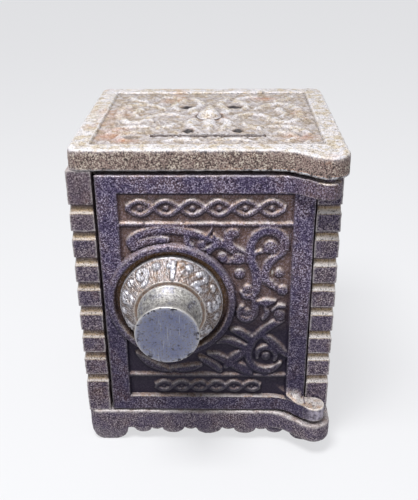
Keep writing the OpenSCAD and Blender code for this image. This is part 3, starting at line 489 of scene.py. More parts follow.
def side_wall(side):
    """A closed outline of the wall from above, carried up Z. Along the outside a point moves inwards with the depth of
    the relief there; at the corners both faces move, so the blocks turn the corner."""
    face = np.linspace(0, 1, 21)
    turn = np.radians(np.linspace(-90, 0, 6))[1:-1]
    x0, x1, y1 = half_w - pil_w, half_w - edge_r, half_d - edge_r
    front = stretch(x0 + (x1 - x0) * face, -half_d, -face * side_share, 1)
    corner = stretch(x1 + edge_r * np.cos(turn), -y1 + edge_r * np.sin(turn), -side_share, 1)
    flank = stretch(half_w, -y1 + (pil_w - edge_r) * face, -side_share, 1 - face)
    near = np.concatenate([front, corner, flank])
    sheet = stretch(half_w, np.linspace(-half_d + pil_w + 0.08, half_d - pil_w - 0.08, 150), -1, 0)
    outer = np.concatenate([near, sheet, near[::-1] * [1, -1, 1, -1]])
    grooves = first_groove + course * np.arange(8)
    z = np.sort(np.concatenate([np.linspace(base_top, wall_top, 262), grooves - 0.04, grooves + 0.04]))
    yy, zz = np.meshgrid(outer[:, 1], z)
    in_sheet = np.abs(yy) < half_d - pil_w
    drawn = sunk_panel(yy, zz, half_d - pil_w - 4.5)
    depth = np.where(in_sheet, sheet_depth + drawn, course_depth(z)[:, None])

    # The slopes are painted pale as lit from above, with a painted highlight at each crest, and their grooves dark as
    # painted shadow under the block above and as dirt. The left wall's upper blocks have gone brown.
    fall = depth / sheet_depth
    brown = 0.4 * (side < 0) * np.clip((zz - 56) / 10, 0, 1)
    relief = np.where(in_sheet, np.clip(1 - drawn / panel_recess, 0, 1), 1 - brown - 0.6 * fall)
    pale = [0, 1.6, 1.3, 0.9, 0.4, -0.7, -0.9] if side < 0 else [0, 1.7, 1.6, 1.3, 0.8, -0.6, -0.9]
    tint = np.where(in_sheet, 0, np.interp(fall, [0, 0.01, 0.3, 0.6, 0.88, 0.96, 1], pale))
    rings = np.stack([outer[:, 0] + outer[:, 2] * depth, outer[:, 1] + outer[:, 3] * depth, zz], -1)
    back_y = half_d - 0.05
    inner = [[x0, back_y], [x0, pil_y], [inner_x, pil_y], [inner_x, -pil_y], [x0, -pil_y], [x0, -back_y]]
    rings = np.concatenate([rings, carried_up(inner, z)], 1)
    rings[..., 0] *= side
    inside = (0, 0), (0, len(inner))
    relief, tint = np.pad(relief, inside, constant_values=0.3), np.pad(tint, inside)
    return (*loft(rings), relief.ravel(), tint.ravel())


def slab(outline, z0, z1, edge=0.3, cap=0.9):
    """An outline carried along Z, with quarter-round edges: at angle a the ring is drawn in by edge * (1 - sin a)
    and lies edge * (1 - cos a) from the end face. Rings beside each round keep its wear to the edge itself."""
    a = np.radians(np.linspace(0, 90, 5))
    inset = np.concatenate([[cap, edge + 0.2], edge * (1 - np.sin(a)), [0]])
    lift = np.concatenate([[0, 0], edge * (1 - np.cos(a)), [edge + 0.3]])
    inset = np.concatenate([inset, inset[::-1]])
    z = np.concatenate([z0 + lift, z1 - lift[::-1]])
    flat = outline[None] - outward(outline)[None] * inset[:, None, None]
    return loft(np.concatenate([flat, np.broadcast_to(z[:, None, None], (*flat.shape[:2], 1))], 2))


def block(x0, x1, y0, y1, z0, z1, edge=0.15):
    """A square bar with rounded edges, as a slab with its corners on arcs of the radius edge."""
    corners = [arc(x1 - edge, y1 - edge, edge, 0, 90, 4), arc(x0 + edge, y1 - edge, edge, 90, 180, 4),
               arc(x0 + edge, y0 + edge, edge, 180, 270, 4), arc(x1 - edge, y0 + edge, edge, 270, 360, 4)]
    return slab(np.concatenate(corners), z0, z1, edge * 0.9, 0.5)


stop_x, catch_x, bar_y = -inner_x - 0.5, -24.4, -22.6
left_bars = [block(stop_x, -24.0, -24.4, bar_y, 12.4, 74.5), block(stop_x, -25.9, -24.9, bar_y, 12.4, 74.5),
             block(catch_x, -18.0, -24.4, bar_y, 41.2, 45.2)]
build("right_wall_casting", [side_wall(1)], case_iron, "case", "right_wall")
build("left_wall_casting", [side_wall(-1), *left_bars], case_iron, "case", "left_wall")

# Back wall: one casting that fits behind the back pilasters. Its middle stands out between them and has the
# same kind of scrolled panel as the sides.

back_half, back_flange, back_panel = 25.7, 28.0, 21.2                # half widths of the middle, flanges and panel
back_face, back_inside, back_hollow = 27.6, 22.3, 24.4               # outside, inside, and inside behind the panel


def back_wall():
    """A closed outline from above carried up Z, whose outer run moves in with the depth of the panel's relief."""
    z = np.linspace(base_top, wall_top, 240)
    xx, zz = np.meshgrid(np.linspace(back_half - 0.3, -back_half + 0.3, 176), z)
    drawn = sunk_panel(xx, zz, back_panel)
    outer = np.stack([xx, back_face - drawn, zz], -1)
    step_y = pil_y - 0.01
    right = np.array([[21.2, back_inside], [back_flange, back_inside], [back_flange, step_y], [back_half, step_y],
                      [back_half, back_face - 0.3]])
    inner = carried_up([[-21.1, back_inside], [21.1, back_inside]], z)
    inner[(z > panel_low) & (z < panel_high), :, 1] = back_hollow
    rings = np.concatenate([carried_up(right, z), outer, carried_up(right[::-1] * [-1, 1], z), inner], 1)
    relief = np.full(rings.shape[:2], 0.8)
    relief[:, len(right):len(right) + outer.shape[1]] = np.clip(1 - drawn / panel_recess, 0, 1)
    return (*loft(rings), relief.ravel())


build("back_wall_casting", [back_wall()], case_iron, "case", "back_wall")

# Top plate: one casting whose rim stands up round a low-relief panel, with the coin slot and the boss for the
# door's upper pin. It is handled most, so its japan has gone and the iron is worn to a pale grey.

# Pale warm grey, partly painted light from above on faces that look up, with ochre rust in patches and holes
# painted dark as shade
top_iron = cast_iron(
    "worn_cast_iron", raised="#98817a", hollow="#6f5f54", upper="#d6d5da", second="#b3a68f", dark="#241d1f",
    glint="#e4dac9", rust="#a8713f", accent="#a9683a", lift=0.84, wear=0.85, metal=0.1)
top_front, top_z, top_shift = -28.1, 82.5, 0.6 # front edge and top of the plate, and how far it sits to the right
top_boss = (pivot_x - top_shift, -29.3, 4.5)
panel_half_x, panel_y0, panel_y1, panel_depth = 26.7, -23.7, 23.6, 0.5
slot_x, slot_y = (-13.8, 13.8), (-17.3, -15.3)
deck_z = wall_top + rib_high                   # underside of the deck, inside the rim
top_pits = [(-5.7, 9.2, 1.8, 1.2), (6.6, 9.4, 1.9, 1.2), (-4.9, -12.6, 1.25, 1), (7.2, -12.2, 1.2, 0.9),
            (21.4, -16.2, 1.2, 0.3), (-18.6, -17.6, 2.4, 0.3)]       # x, y, half width, depth
rust_spots = [(-23, -16.6, 4.6, 2.6), (-19.5, -20.2, 3, 1.6), (21.6, -17.4, 3.6, 2.2), (-22, -12, 2.6, 1.8),
              (15, 18, 3, 2)]                  # x, y and the two half sizes


def top_relief(x, y):
    """The worn rosette round the tie bolt: leaves that point to the front and the back, four deep hollows between
    them, a C-scroll at either side and a leaf in each corner. Heights are above the panel's ground."""
    a = np.abs(x)
    leaves = [
        [(0, 4.2, 1.6), (0, 7, 1.3), (0, 10.5, 0.35)],
        [(0, -4.2, 1.6), (0, -7.5, 1.4), (0, -11.5, 0.35)],
        [(3.2, 2.4, 0.7), (4.6, 4.6, 1.2), (4, 8, 1), (2.4, 11.6, 0.9), (3.4, 15, 0.9), (5.4, 18.6, 0.5)],
        [(3.2, -2.4, 0.7), (4.8, -5, 1.2), (4.4, -8.4, 1), (3, -12, 0.6)],
        [(8.2, 6, 0.4), (9.6, 9, 1), (9.2, 12.6, 1), (7, 15.4, 0.9), (9.4, 18.6, 0.8), (13, 19.6, 0.5)],
        [(8.4, -6.6, 0.4), (10.4, -9.4, 1), (12.6, -10.6, 0.5)],
        [(6.4, 0, 0.5), (9.6, 1.8, 0.9), (13, 1.2, 0.9), (15.4, -1.6, 0.8), (14.6, -4.4, 0.6)],
        [(12, 6.4, 0.5), (15.2, 10.6, 1), (19.8, 11.6, 1.1), (23, 7.4, 1.1), (23.2, 0.6, 1.1), (20.6, -5, 1),
         (16.8, -4.6, 0.7), (17, -1.6, 0.5)],
        [(18.4, 5.4, 1), (19.6, 2.4, 0.8), (18.6, 0.2, 0.4)],
        [(14.6, -9.4, 0.4), (18, -9, 0.9), (21.6, -10.6, 1), (24, -14.6, 0.6)],
        [(17.4, 14.6, 0.4), (20, 16, 0.9), (22.6, 19.4, 0.7)],
        [(16.6, -13.6, 0.5), (19.4, -15, 1), (20.8, -18.4, 0.9), (18.4, -20.6, 0.5)],
        [(2, -20.4, 0.5), (6, -19.6, 0.7), (10, -20.6, 0.4)],
    ]
    relief = bands(a, y, leaves, 0.46)
    relief = soften(np.maximum(relief, domes(a, y, [(18.4, 6.4, 1.3), (16.2, -3, 1), (21, -12.8, 1.1)], 0.4)), 2)
    flat = np.stack([x, y, np.zeros(x.shape)], -1).reshape(-1, 3)
    for share, size, seed in ((0.07, 3.2, 31), (0.06, 1.5, 32), (0.04, 0.8, 33)):
        relief += share * ripple(flat, size, seed).reshape(x.shape)
    for px, py, wide, deep in top_pits:
        relief -= deep * np.exp(-(((x - px) / wide) ** 2 + ((y - py) / 1.1) ** 2) ** 2)
    return relief


def spread(*stops):
    """Grid lines that pass through each stop, about a quarter of a millimetre apart between them."""
    spans = [np.linspace(a, b, max(2, round(abs(b - a) / 0.27) + 1))[:-1] for a, b in zip(stops, stops[1:])]
    return np.concatenate([*spans, stops[-1:]])


def grid(nx, ny):
    """Numbers of the points in a grid of ny rows, its quads, and the points round its rim, counter-clockwise."""
    at = np.arange(nx * ny).reshape(ny, nx)
    cells = np.stack([at[:-1, :-1], at[:-1, 1:], at[1:, 1:], at[1:, :-1]], -1)
    return at, cells, np.concatenate([at[0, :-1], at[:-1, -1], at[-1, :0:-1], at[:0:-1, 0]])


def sides(first, rows, start):
    """Quads from the points numbered first to as many in the first row, and on from row to row, whose points are
    numbered from start. The second value holds the numbers of the last row."""
    at = np.concatenate([[first], start + np.arange(len(rows) * len(first)).reshape(len(rows), -1)])
    a, b = at[:-1], at[1:]
    return np.stack([b, np.roll(b, -1, 1), np.roll(a, -1, 1), a], -1).reshape(-1, 4), at[-1]


def top_casting():
    """A grid over the panel, with a hole for the slot. Its rim runs out through rings to the plate's outline, down the
    side and back under the deck, where two flat faces meet on either side of the slot."""
    gx = spread(-panel_half_x, *slot_x, panel_half_x)
    gy = spread(panel_y0, *slot_y, panel_y1)
    nx, ny = len(gx), len(gy)
    x, y = np.meshgrid(gx, gy)
    drawn = top_relief(x, y)
    to_rim = np.minimum.reduce([x + panel_half_x, panel_half_x - x, y - panel_y0, panel_y1 - y])
    z = top_z - panel_depth + drawn * np.clip(to_rim / 0.8, 0, 1)
    at, cells, rim = grid(nx, ny)
    i0, i1 = np.searchsorted(gx, np.array(slot_x) - 1e-6)
    j0, j1 = np.searchsorted(gy, np.array(slot_y) - 1e-6)
    solid = np.ones(cells.shape[:2], bool)
    solid[j0:j1, i0:i1] = False
    mouth = np.concatenate([at[j0, i0:i1], at[j0:j1, i1], at[j1, i1:i0:-1], at[j1:j0:-1, i0]])
    panel = np.column_stack([x.ravel(), y.ravel(), z.ravel()])

    # Rust in spots, the deep holes painted dark as shade, and a painted shadow ring where the tie bolt's head meets the
    # rosette
    shade = np.zeros(x.shape)
    for px, py, wide, high in rust_spots:
        shade = np.maximum(shade, 0.75 * np.exp(-((x - px) / wide) ** 2 - ((y - py) / high) ** 2))
    for px, py, wide, deep in top_pits:
        shade -= (1.2 * deep + 0.2) * np.exp(-(((x - px) / wide) ** 2 + ((y - py - 0.3) / 1.3) ** 2) ** 2)
    shade -= 0.8 * np.exp(-((np.hypot(x - 0.5 + top_shift, y) - 3.3) / 0.5) ** 2)

    # The outline gets as many points as the rim. The rim's corners lie opposite the outline's, and so the boss takes
    # the last quarter of the front and the first points of the right side.
    split, beside = int((nx - 1) * 0.74), 36
    counts = [split, nx - 1 - split, beside, ny - 1 - beside, nx - 1, ny - 1]
    outline = plate_outline(half_w, top_front, top_boss, counts)
    out = outward(outline)
    inner = panel[rim][:, :2]
    away = outward(inner)
    lip, edge = inner + away * 0.55, outline - out * 1.15
    rows = []
    for beyond, share in ((0.12, 0.9), (0.26, 0.55), (0.4, 0.18), (0.55, 0.0)):
        rows.append(ring(inner, away, -beyond, top_z - panel_depth * share))
    rows += [ring(lip + (edge - lip) * t, out, 0, top_z) for t in np.linspace(0, 1, 14)[1:]]
    for inset, drop in ((0.9, 0.0), (0.65, 0.02), (0.44, 0.07), (0.27, 0.17), (0.14, 0.3), (0.05, 0.46), (0, 0.68)):
        rows.append(ring(outline, out, inset, top_z - drop))
    rows += [ring(outline, out, 0, z_row) for z_row in np.linspace(top_z - 1.5, wall_top + 0.9, 8)]
    for inset, lift in ((0, 0.6), (0, 0.42), (0.05, 0.26), (0.13, 0.13), (0.26, 0.05), (0.42, 0)):
        rows.append(ring(outline, out, inset, wall_top + lift))
    pocket = np.column_stack([np.clip(inner[:, 0] * 0.975, -26.0, 26.0), np.clip(inner[:, 1], -22.7, 20.3)])
    rows += [ring(pocket, out, 0, wall_top), ring(pocket * 0.999, out, 0, deck_z)]
    rim_quads, last = sides(rim, rows, nx * ny)

    # The slot's walls, then the deck's underside in two halves that meet in front of the slot and behind it
    throat = carried_up(panel[mouth][:, :2], np.array([top_z - 0.95, top_z - 1.3, deck_z]))
    slot_quads, end = sides(mouth, throat, nx * ny + len(rows) * len(rim))
    every = np.concatenate([panel, *rows, *throat])
    relief, tint = np.ones(len(every)), np.zeros(len(every))
    relief[:nx * ny] = np.clip(0.45 + drawn.ravel() * 1.2, 0, 1)
    tint[:nx * ny] = shade.ravel()
    # The slot's walls are painted dark below their top edge, as the shade inside the slot
    tint[-3 * len(mouth):] = np.repeat([-0.2, -1, -1], len(mouth))

    # Along its lower front edge, right of the middle, the plate is chipped dark and its arris is rubbed bare
    worn = np.clip((wall_top + 2.4 - every[:, 2]) / 1.2, 0, 1) * np.clip((every[:, 0] - 1) / 9, 0, 1)
    worn *= every[:, 1] < -26
    tint += worn * np.where(ripple(every, 1.4, 35) > 0.5, -0.8, np.where(every[:, 2] < wall_top + 0.65, 1.6, 0))

    # Both underside faces start and end at the middle of the front and of the back
    front, near = (nx - 1) // 2, (i1 - i0) // 2
    back, far = 2 * (nx - 1) + ny - 1 - front, 2 * (i1 - i0) + j1 - j0 - near
    right = np.concatenate([last[front:back + 1], end[near:far + 1][::-1]])
    left = np.concatenate([last[back:], last[:front + 1], end[:near + 1][::-1], end[far:][::-1]])
    quads = np.concatenate([cells[solid], rim_quads, slot_quads[:, ::-1]])
    return every + [top_shift, 0, 0], quads, [right[::-1], left[::-1]], relief, tint


top_ribs = rib_frame(wall_top - rib_high, wall_top + sunk)
build("top_plate_casting", [top_casting(), top_ribs], top_iron, "case", "top_plate")

# Tie bolt: a wrought iron bolt that goes down through both plates and holds the case together. Its domed head,
# with the point that the die left, lies in the middle of the rosette.

head_r, head_h, head_z, bolt_x = 3.1, 2.1, 82.0, 0.5


def turned(profile, x, y, z, along, count=96):
    """A profile of (radius, distance) turned about an axis through (x, y, z). along is the axis, "y" or "z", and the
    distance is counted along it."""
    a = np.linspace(0, 2 * np.pi, count, endpoint=False)
    r, d = np.array(profile, float).T
    u, v, w = r[:, None] * np.cos(a), r[:, None] * np.sin(a), np.broadcast_to(d[:, None], (len(r), count))
    rings = np.stack([u, w, v], -1) if along == "y" else np.stack([u, v, w], -1)
    return loft(rings + [x, y, z])


ball_r = (head_r ** 2 + head_h ** 2) / (2 * head_h)
swing = np.linspace(np.arcsin(head_r / ball_r), 0.13, 14)
bolt = [(1.87, 0.5), (1.9, 0.7), (1.9, head_z + 0.02), (head_r - 0.15, head_z + 0.02), (head_r, head_z + 0.12)]
bolt += [(ball_r * np.sin(a), head_z + head_h - ball_r * (1 - np.cos(a))) for a in swing[1:]]
bolt += [(0.45, head_z + head_h + 0.02), (0.3, head_z + head_h + 0.1), (0.12, head_z + head_h + 0.14)]
build("tie_bolt_forging", [turned(bolt, bolt_x, 0, 0, "z")], top_iron, "case", "tie_bolt", 0.02)

# Door: one casting with a plain border, two crossbars, a ring round the dial and scrollwork on a sunk field.
# Two ears sweep forward at its right and carry the cast pivot pins. The two narrow panels have a plain
# twist of two strands with beads in its eyes.

door_x, door_z = (-25.2, 25.6), (9.9, 76.3)
door_front, door_back, field_depth = -28.1, -24.6, 1.1               # faces of the border and the back
field_x, field_z, field_y = (-20.2, 20.6), (14.4, 71.8), door_front + field_depth
bars, bar_half = (20.8, 64.0), 0.7             # heights of the crossbars
ears = ((10.6, 14.6), (72.3, 76.3))            # lower and upper face of each
pivot_y, ear_r = -31.0, 2.7
dial_x, dial_z = -8.5, 43.2
ring_in, ring_middle, ring_half, ring_front = 13.9, 14.92, 1.02, -29.0
ring_bare, ring_end = 14.35, 16.2              # the ring's tint: rubbed to brass brown inside, dark up to its end
twist_x, strand_half = 0.2, 0.7
twists = ((68.15, 1.75, 12.3, 18.45), (17.35, 1.35, 9.2, 13.8))      # height, reach, period, half length

scrolls = [
    [(-17, 58.4, 1), (-17.6, 60, 1.1), (-16, 61.6, 1), (-13, 62.7, 1), (-9, 63.1, 1), (-5, 62.7, 1.05),
     (-1.8, 61.8, 0.9), (0.6, 60.9, 0.6)],
    [(-16.8, 58.6, 0.9), (-14.5, 59.8, 0.95), (-11.8, 60.5, 0.95), (-9.3, 60.5, 0.85)],
    [(-4.3, 61.3, 0.7), (-4.3, 59.8, 0.8), (-3.2, 58.8, 0.6)],
    [(2.5, 60.6, 0.6), (0.8, 60.6, 0.75), (-0.9, 59.9, 0.8), (-1.1, 58.6, 0.7), (0, 58.2, 0.6)],
    [(0.4, 61.2, 0.35), (1.1, 62.4, 0.35), (1.7, 63.5, 0.2)],
    [(2, 61.8, 0.3), (3.5, 60.4, 0.4)],
    [(0.8, 57, 0.5), (1.6, 58.4, 0.8), (3.2, 59.4, 1), (5.2, 59, 1.1), (7, 57.6, 1.1), (9, 56.6, 1),
     (10.2, 56.2, 0.8)],
    [(6.9, 62.3, 1.1), (5.9, 62.1, 1.15), (5.5, 60.8, 1.05), (6, 59, 1), (8.6, 57.2, 0.9)],
    [(4, 54.8, 0.5), (7, 55, 0.9), (10.5, 55, 0.6)],
    [(10.9, 56.6, 0.9), (11.2, 54.6, 1), (12, 52.2, 1.1), (12.4, 49.8, 1.1), (12.2, 47.2, 1.1), (11.2, 45.4, 1),
     (9.7, 45.1, 0.8), (8.9, 46.2, 0.6)],
    [(10.7, 56.8, 1), (10.9, 59.4, 1), (12.2, 61.8, 1.05), (14.6, 62.9, 1.1), (17.2, 62.3, 1.15), (18.7, 60.2, 1.15),
     (18.4, 57.8, 1.1), (16.8, 56.1, 1.05), (15.2, 54.2, 1), (14.5, 52, 1), (14.6, 50, 1), (15.8, 48.8, 0.9)],
    [(11.4, 55.6, 0.45), (12, 56.8, 0.5), (13.1, 57.3, 0.5), (14.2, 57.4, 0.6), (15, 58.2, 0.8)],
    [(15.6, 48.6, 0.8), (17.4, 47.4, 0.8), (18.5, 46.6, 0.8)],
    [(12.4, 43.6, 0.3), (14.8, 43.3, 1), (17.2, 43.8, 0.3)],
    [(11.6, 44.4, 0.6), (12.2, 42.4, 0.8), (11.9, 40.2, 1), (10.6, 38.6, 1), (8.9, 38.8, 0.9), (8.2, 40.4, 0.8),
     (9, 41.9, 0.7)],
    [(16.7, 41, 0.5), (18, 42.2, 0.6), (19.3, 42.2, 0.5)],
    [(18.9, 38.4, 0.8), (16.8, 37, 1), (14.8, 35.3, 1), (12.8, 33.2, 1)],
    [(14.2, 38.6, 0.5), (15.2, 40.2, 0.6), (14.6, 41.8, 0.4)],
    [(6.4, 35.2, 0.5), (8.2, 34.6, 1), (10.2, 33.2, 1), (11.8, 31.4, 0.8)],
    [(12.8, 33.4, 0.9), (11.5, 31, 1), (10.8, 28.4, 1), (11.1, 25.8, 1), (12.4, 23.9, 1), (14.6, 23, 1),
     (17, 23.4, 0.9), (18.8, 25, 0.6)],
    [(13.8, 34, 0.6), (15.8, 32.4, 1), (17.8, 30.4, 1.1), (20.4, 27.8, 0.8)],
    [(13, 27, 0.5), (13.2, 28.9, 0.7), (14.7, 30, 0.75), (16.6, 29.5, 0.75), (17.7, 27.9, 0.7), (17.4, 26.2, 0.5)],
    [(6.2, 24.8, 0.6), (8, 24.2, 1.3), (10, 22.9, 1.2), (11.4, 22.1, 0.6)],
    [(11.2, 29.6, 0.5), (9, 28.2, 1.1), (6.8, 26.4, 1.2), (5, 24.2, 0.8)],
    [(2.8, 31.6, 0.5), (5.2, 32, 0.9), (7.8, 31, 1), (10.2, 30, 0.8)],
    [(0.4, 28, 0.4), (2.4, 27.3, 0.9), (4.8, 26, 1), (6.2, 24.6, 0.7)],
    [(-1.8, 26.9, 0.4), (-0.2, 25.8, 0.9), (1.8, 24.4, 1), (3.4, 23, 0.8)],
    [(-9, 23.4, 0.4), (-6.6, 23.2, 0.9), (-4, 23.6, 0.9), (-1.6, 24.4, 0.6)],
    [(-17.9, 28.2, 0.35), (-16.4, 26.4, 0.8), (-14.2, 24.6, 1), (-11.6, 23.4, 0.9), (-9.4, 22.8, 0.5)],
]
seed_heads = [(-0.7, 59.4, 0.9), (4.1, 55.9, 1.2), (7.8, 55.4, 1.45), (10.2, 47.2, 1.1), (8.2, 51.3, 1.3),
              (15.5, 58.6, 1.65), (17.8, 51.6, 1.15), (18.8, 46.7, 1.3), (10, 40.6, 1), (18.3, 39.8, 1.4),
              (15.2, 27.3, 1.2)]


def step_up(d, run=0.25):
    """0 below -run, 1 above run and a smooth S between them: t * t * (3 - 2 t)."""
    t = np.clip(d / (2 * run) + 0.5, 0, 1)
    return t * t * (3 - 2 * t)


def door_height(x, z):
    """Height of the door's front above its sunk field: the border, the two crossbars, the scrolls, a twist of two
    waves with beads in its eyes in both narrow panels, and the ring with the well that the dial turns in."""
    depth = np.minimum.reduce([x - field_x[0], field_x[1] - x, z - field_z[0], field_z[1] - z])
    drawn = [[(u, v - 0.4, 1.25 * w + 0.04) for u, v, w in path] for path in scrolls]
    work = bands(x, z, drawn, 1.0)
    for u, v, r in seed_heads:
        off = np.hypot(x - u, z - v + 0.4) / (1.15 * r)
        work = work * (1 - 0.5 * np.exp(-((off - 1.1) / 0.13) ** 2))
        head = 1.05 * np.sqrt(np.clip(1 - off ** 5, 0, 1)) - 0.25 * np.exp(-((off - 0.55) / 0.13) ** 2)
        work = np.maximum(work, head)
    for middle in bars:
        bar = 0.85 * np.sqrt(np.clip(1 - ((z - middle) / bar_half) ** 2, 0, 1))
        work = np.maximum(work, np.where(depth > -0.4, bar, 0))
    for middle, reach, period, half in twists:
        phase = (x - twist_x) * 2 * np.pi / period
        inside = np.abs(x - twist_x) < half + 0.3
        lean = np.hypot(1, reach * 2 * np.pi / period * np.cos(phase))
        for sign in (-1, 1):
            off = (z - middle - sign * reach * np.sin(phase)) / lean
            strand = (0.86 + sign * 0.12 * np.cos(phase)) * np.sqrt(np.clip(1 - (off / strand_half) ** 4, 0, 1))
            work = np.maximum(work, np.where(inside, strand, 0))
        eye = (x - twist_x) % (period / 2) - period / 4
        bead = 0.95 * np.sqrt(np.clip((reach * 0.52) ** 2 - eye ** 2 - (z - middle) ** 2, 0, None))
        work = np.maximum(work, np.where(inside, bead, 0))
    work = np.maximum(soften(work, 1), 0.5 * soften(work, 14))
    height = np.maximum(field_depth * (1 - step_up(depth)), np.where(depth > -0.3, work, 0))

    # The ring, with the chip in its top
    r = np.hypot(x - dial_x, z - dial_z)
    moulding = (field_y - ring_front) * np.clip(1 - (np.abs(r - ring_middle) / ring_half) ** 5, 0, 1) ** 0.5
    moulding -= 0.4 * np.exp(-((x + 8.7) / 0.3) ** 2 - ((z - 58.3) / 0.6) ** 2)
    return np.where(r < ring_in + 1, moulding, np.maximum(moulding, height))


def sweep(x):
    """How far an ear stands in front of the door's border at x, along the same bend and slope as the plates' bosses."""
    curve = swept(pivot_x, pivot_y, ear_r, door_front)
    return door_front - np.interp(x, curve[:, 0], curve[:, 1])


def door_casting():
    """A grid over the door's front, with close rows where the ears step forward. Rings of points lead from its rim
    round the edge to the back, which is one flat face."""
    edge_round = 0.35
    gx = np.linspace(door_x[0] + edge_round, door_x[1] - edge_round, 236)
    rows = [np.linspace(door_z[0] + edge_round, door_z[1] - edge_round, 300)]
    rows += [step + np.linspace(-0.06, 0.06, 7) for step in (*ears[0], ears[1][0])]
    gz = np.sort(np.concatenate(rows))
    x, z = np.meshgrid(gx, gz)
    height = door_height(x, z)

    # An ear stands forward between its two steps, and a hollow leads up to it from the border
    lift, ledge = np.zeros(len(gz)), np.zeros(len(gz))
    for z0, z1 in ears:
        lift += step_up(gz - z0, 0.06) * (1 - step_up(gz - z1, 0.06))
    for step, radius, side in ((ears[0][1], 3.4, 1), (ears[1][0], 1.0, -1)):
        off = (gz - step) * side
        hollow = radius - np.sqrt(np.clip(radius ** 2 - (radius - off) ** 2, 0, None))
        ledge = np.where((off > 0) & (off < radius), hollow, ledge)
    forward = sweep(x)
    ledge = ledge[:, None] * np.clip((door_x[1] - 0.5 - x) / 1.8, 0, 1) ** 0.5
    y = field_y - height - np.maximum(forward * lift[:, None], np.minimum(ledge, forward))
    _, cells, rim = grid(len(gx), len(gz))
    front = np.column_stack([x.ravel(), y.ravel(), z.ravel()])

    # Painted shadow lies under what stands out, rust in the upper right corner, a painted highlight in the hollow left
    # of the seed head at x 17.8, z 51, and the ring is darkest at its lower right
    r = np.hypot(x - dial_x, z - dial_z)
    over = np.vstack([height[3:], np.repeat(height[-1:], 3, 0)])
    dirt_and_painted_light = soften(np.clip((over - height) * 1.2, 0, 1), 1)
    rust_and_painted_highlight = 0.4 * np.clip((x - 18) / 6, 0, 1) * (z > ears[1][0])
    rust_and_painted_highlight += 1.7 * np.exp(-((x - 16.1) / 0.6) ** 2 - ((z - 51.2) / 1.2) ** 2)
    ring_tint = -0.3 - 0.5 * np.clip((48 - z) / 9, 0, 1) * np.clip((x - dial_x) / 8, 0, 1)
    beyond = np.where(r < ring_end, ring_tint, rust_and_painted_highlight - dirt_and_painted_light)
    tint = np.where(r < ring_bare, np.clip((ring_bare - r) / 0.4, 0, 1), beyond).ravel()

    # Out from the rim through a round, halfway down the side, and in again round the back
    edge = front[rim]
    away_x, away_z = [(e == g[-1]) * 1.0 - (e == g[0]) for e, g in ((edge[:, 0], gx), (edge[:, 2], gz))]
    depths = [edge[:, 1] + d for d in (0.02, 0.09, 0.2, 0.38)] + [(edge[:, 1] + 0.38 + door_back - 0.5) / 2]
    depths += [np.full(len(rim), door_back - d) for d in (0.3, 0.08, 0)]
    outs = (0.12, 0.23, 0.31, edge_round, edge_round, edge_round, 0.25, 0)
    rows = [np.column_stack([edge[:, 0] + away_x * out, d, edge[:, 2] + away_z * out]) for out, d in zip(outs, depths)]
    side_quads, last = sides(rim, rows, len(front))
    quads = np.concatenate([cells.reshape(-1, 4), np.roll(side_quads, 1, 1)])      # the roll picks their diagonal
    around = len(rows) * len(rim)
    relief = np.concatenate([np.clip(height / field_depth, 0, 1).ravel(), np.full(around, 0.9)])
    return np.concatenate([front, *rows]), quads, [last], relief, np.concatenate([tint, np.full(around, -0.3)])


def ear_end(z0, z1):
    """The part of an ear beyond the door's edge: its slope runs into a round end about the pivot."""
    begin, join = 24.5, 25.4
    curve = swept(pivot_x, pivot_y, ear_r, door_front)
    curve = curve[curve[:, 0] > begin]
    curve[:, 1] += np.interp(curve[:, 0], [begin, join], [0.15, -0.02])
    flat = [curve, arc(pivot_x, pivot_y, ear_r, 270 - slope_angle, 450, 40), [[begin, pivot_y + ear_r]], curve[:1]]
    points, quads, ends = slab(resample(np.concatenate(flat), 130), z0 + 0.02, z1 - 0.02, 0.35)
    lower = z0 < dial_z
    relief = 1 + 0.5 * lower * np.clip((points[:, 0] - join) / 2.5, 0, 1)
    return points, quads, ends, relief, np.full(len(points), 0.0 if lower else 0.4)


pins = [turned([(1.2, z0), (1.4, z0 + 0.2), (1.4, z1 - 0.2), (1.2, z1)], pivot_x, pivot_y, 0, "z", 40)
        for z0, z1 in ((7.7, 11.0), (75.9, 79.2))]
boss_profile = [(4.6, -24.8), (4.6, -22.4), (4.4, -22.25), (2.2, -22.25), (2.1, -22.4), (2.1, -24.8)]
boss = turned(boss_profile, dial_x, 0, dial_z, "y", 64)

# Nearly black with a blue cast, painted pale where it faces up as light from above, and painted dark in its lower
# half as shade
door_iron = cast_iron(
    "japanned_cast_iron_door", raised="#544869", hollow="#7e645c", upper="#ebe4dc", second="#cdb195", dark="#160f2a",
    glint="#c6bdd4", rust="#6b4431", accent="#86632e", lift=0.9, wear=0.15, painted_low_shade=1.0)
door_shells = [door_casting(), ear_end(*ears[0]), ear_end(*ears[1]), *pins, boss]
build("door_casting", door_shells, door_iron, "door", "door", 0.035)

# Dial: a nickel-plated casting, a steep cone with raised numbers that turns in the ring's well. A groove runs
# round the knob's foot.

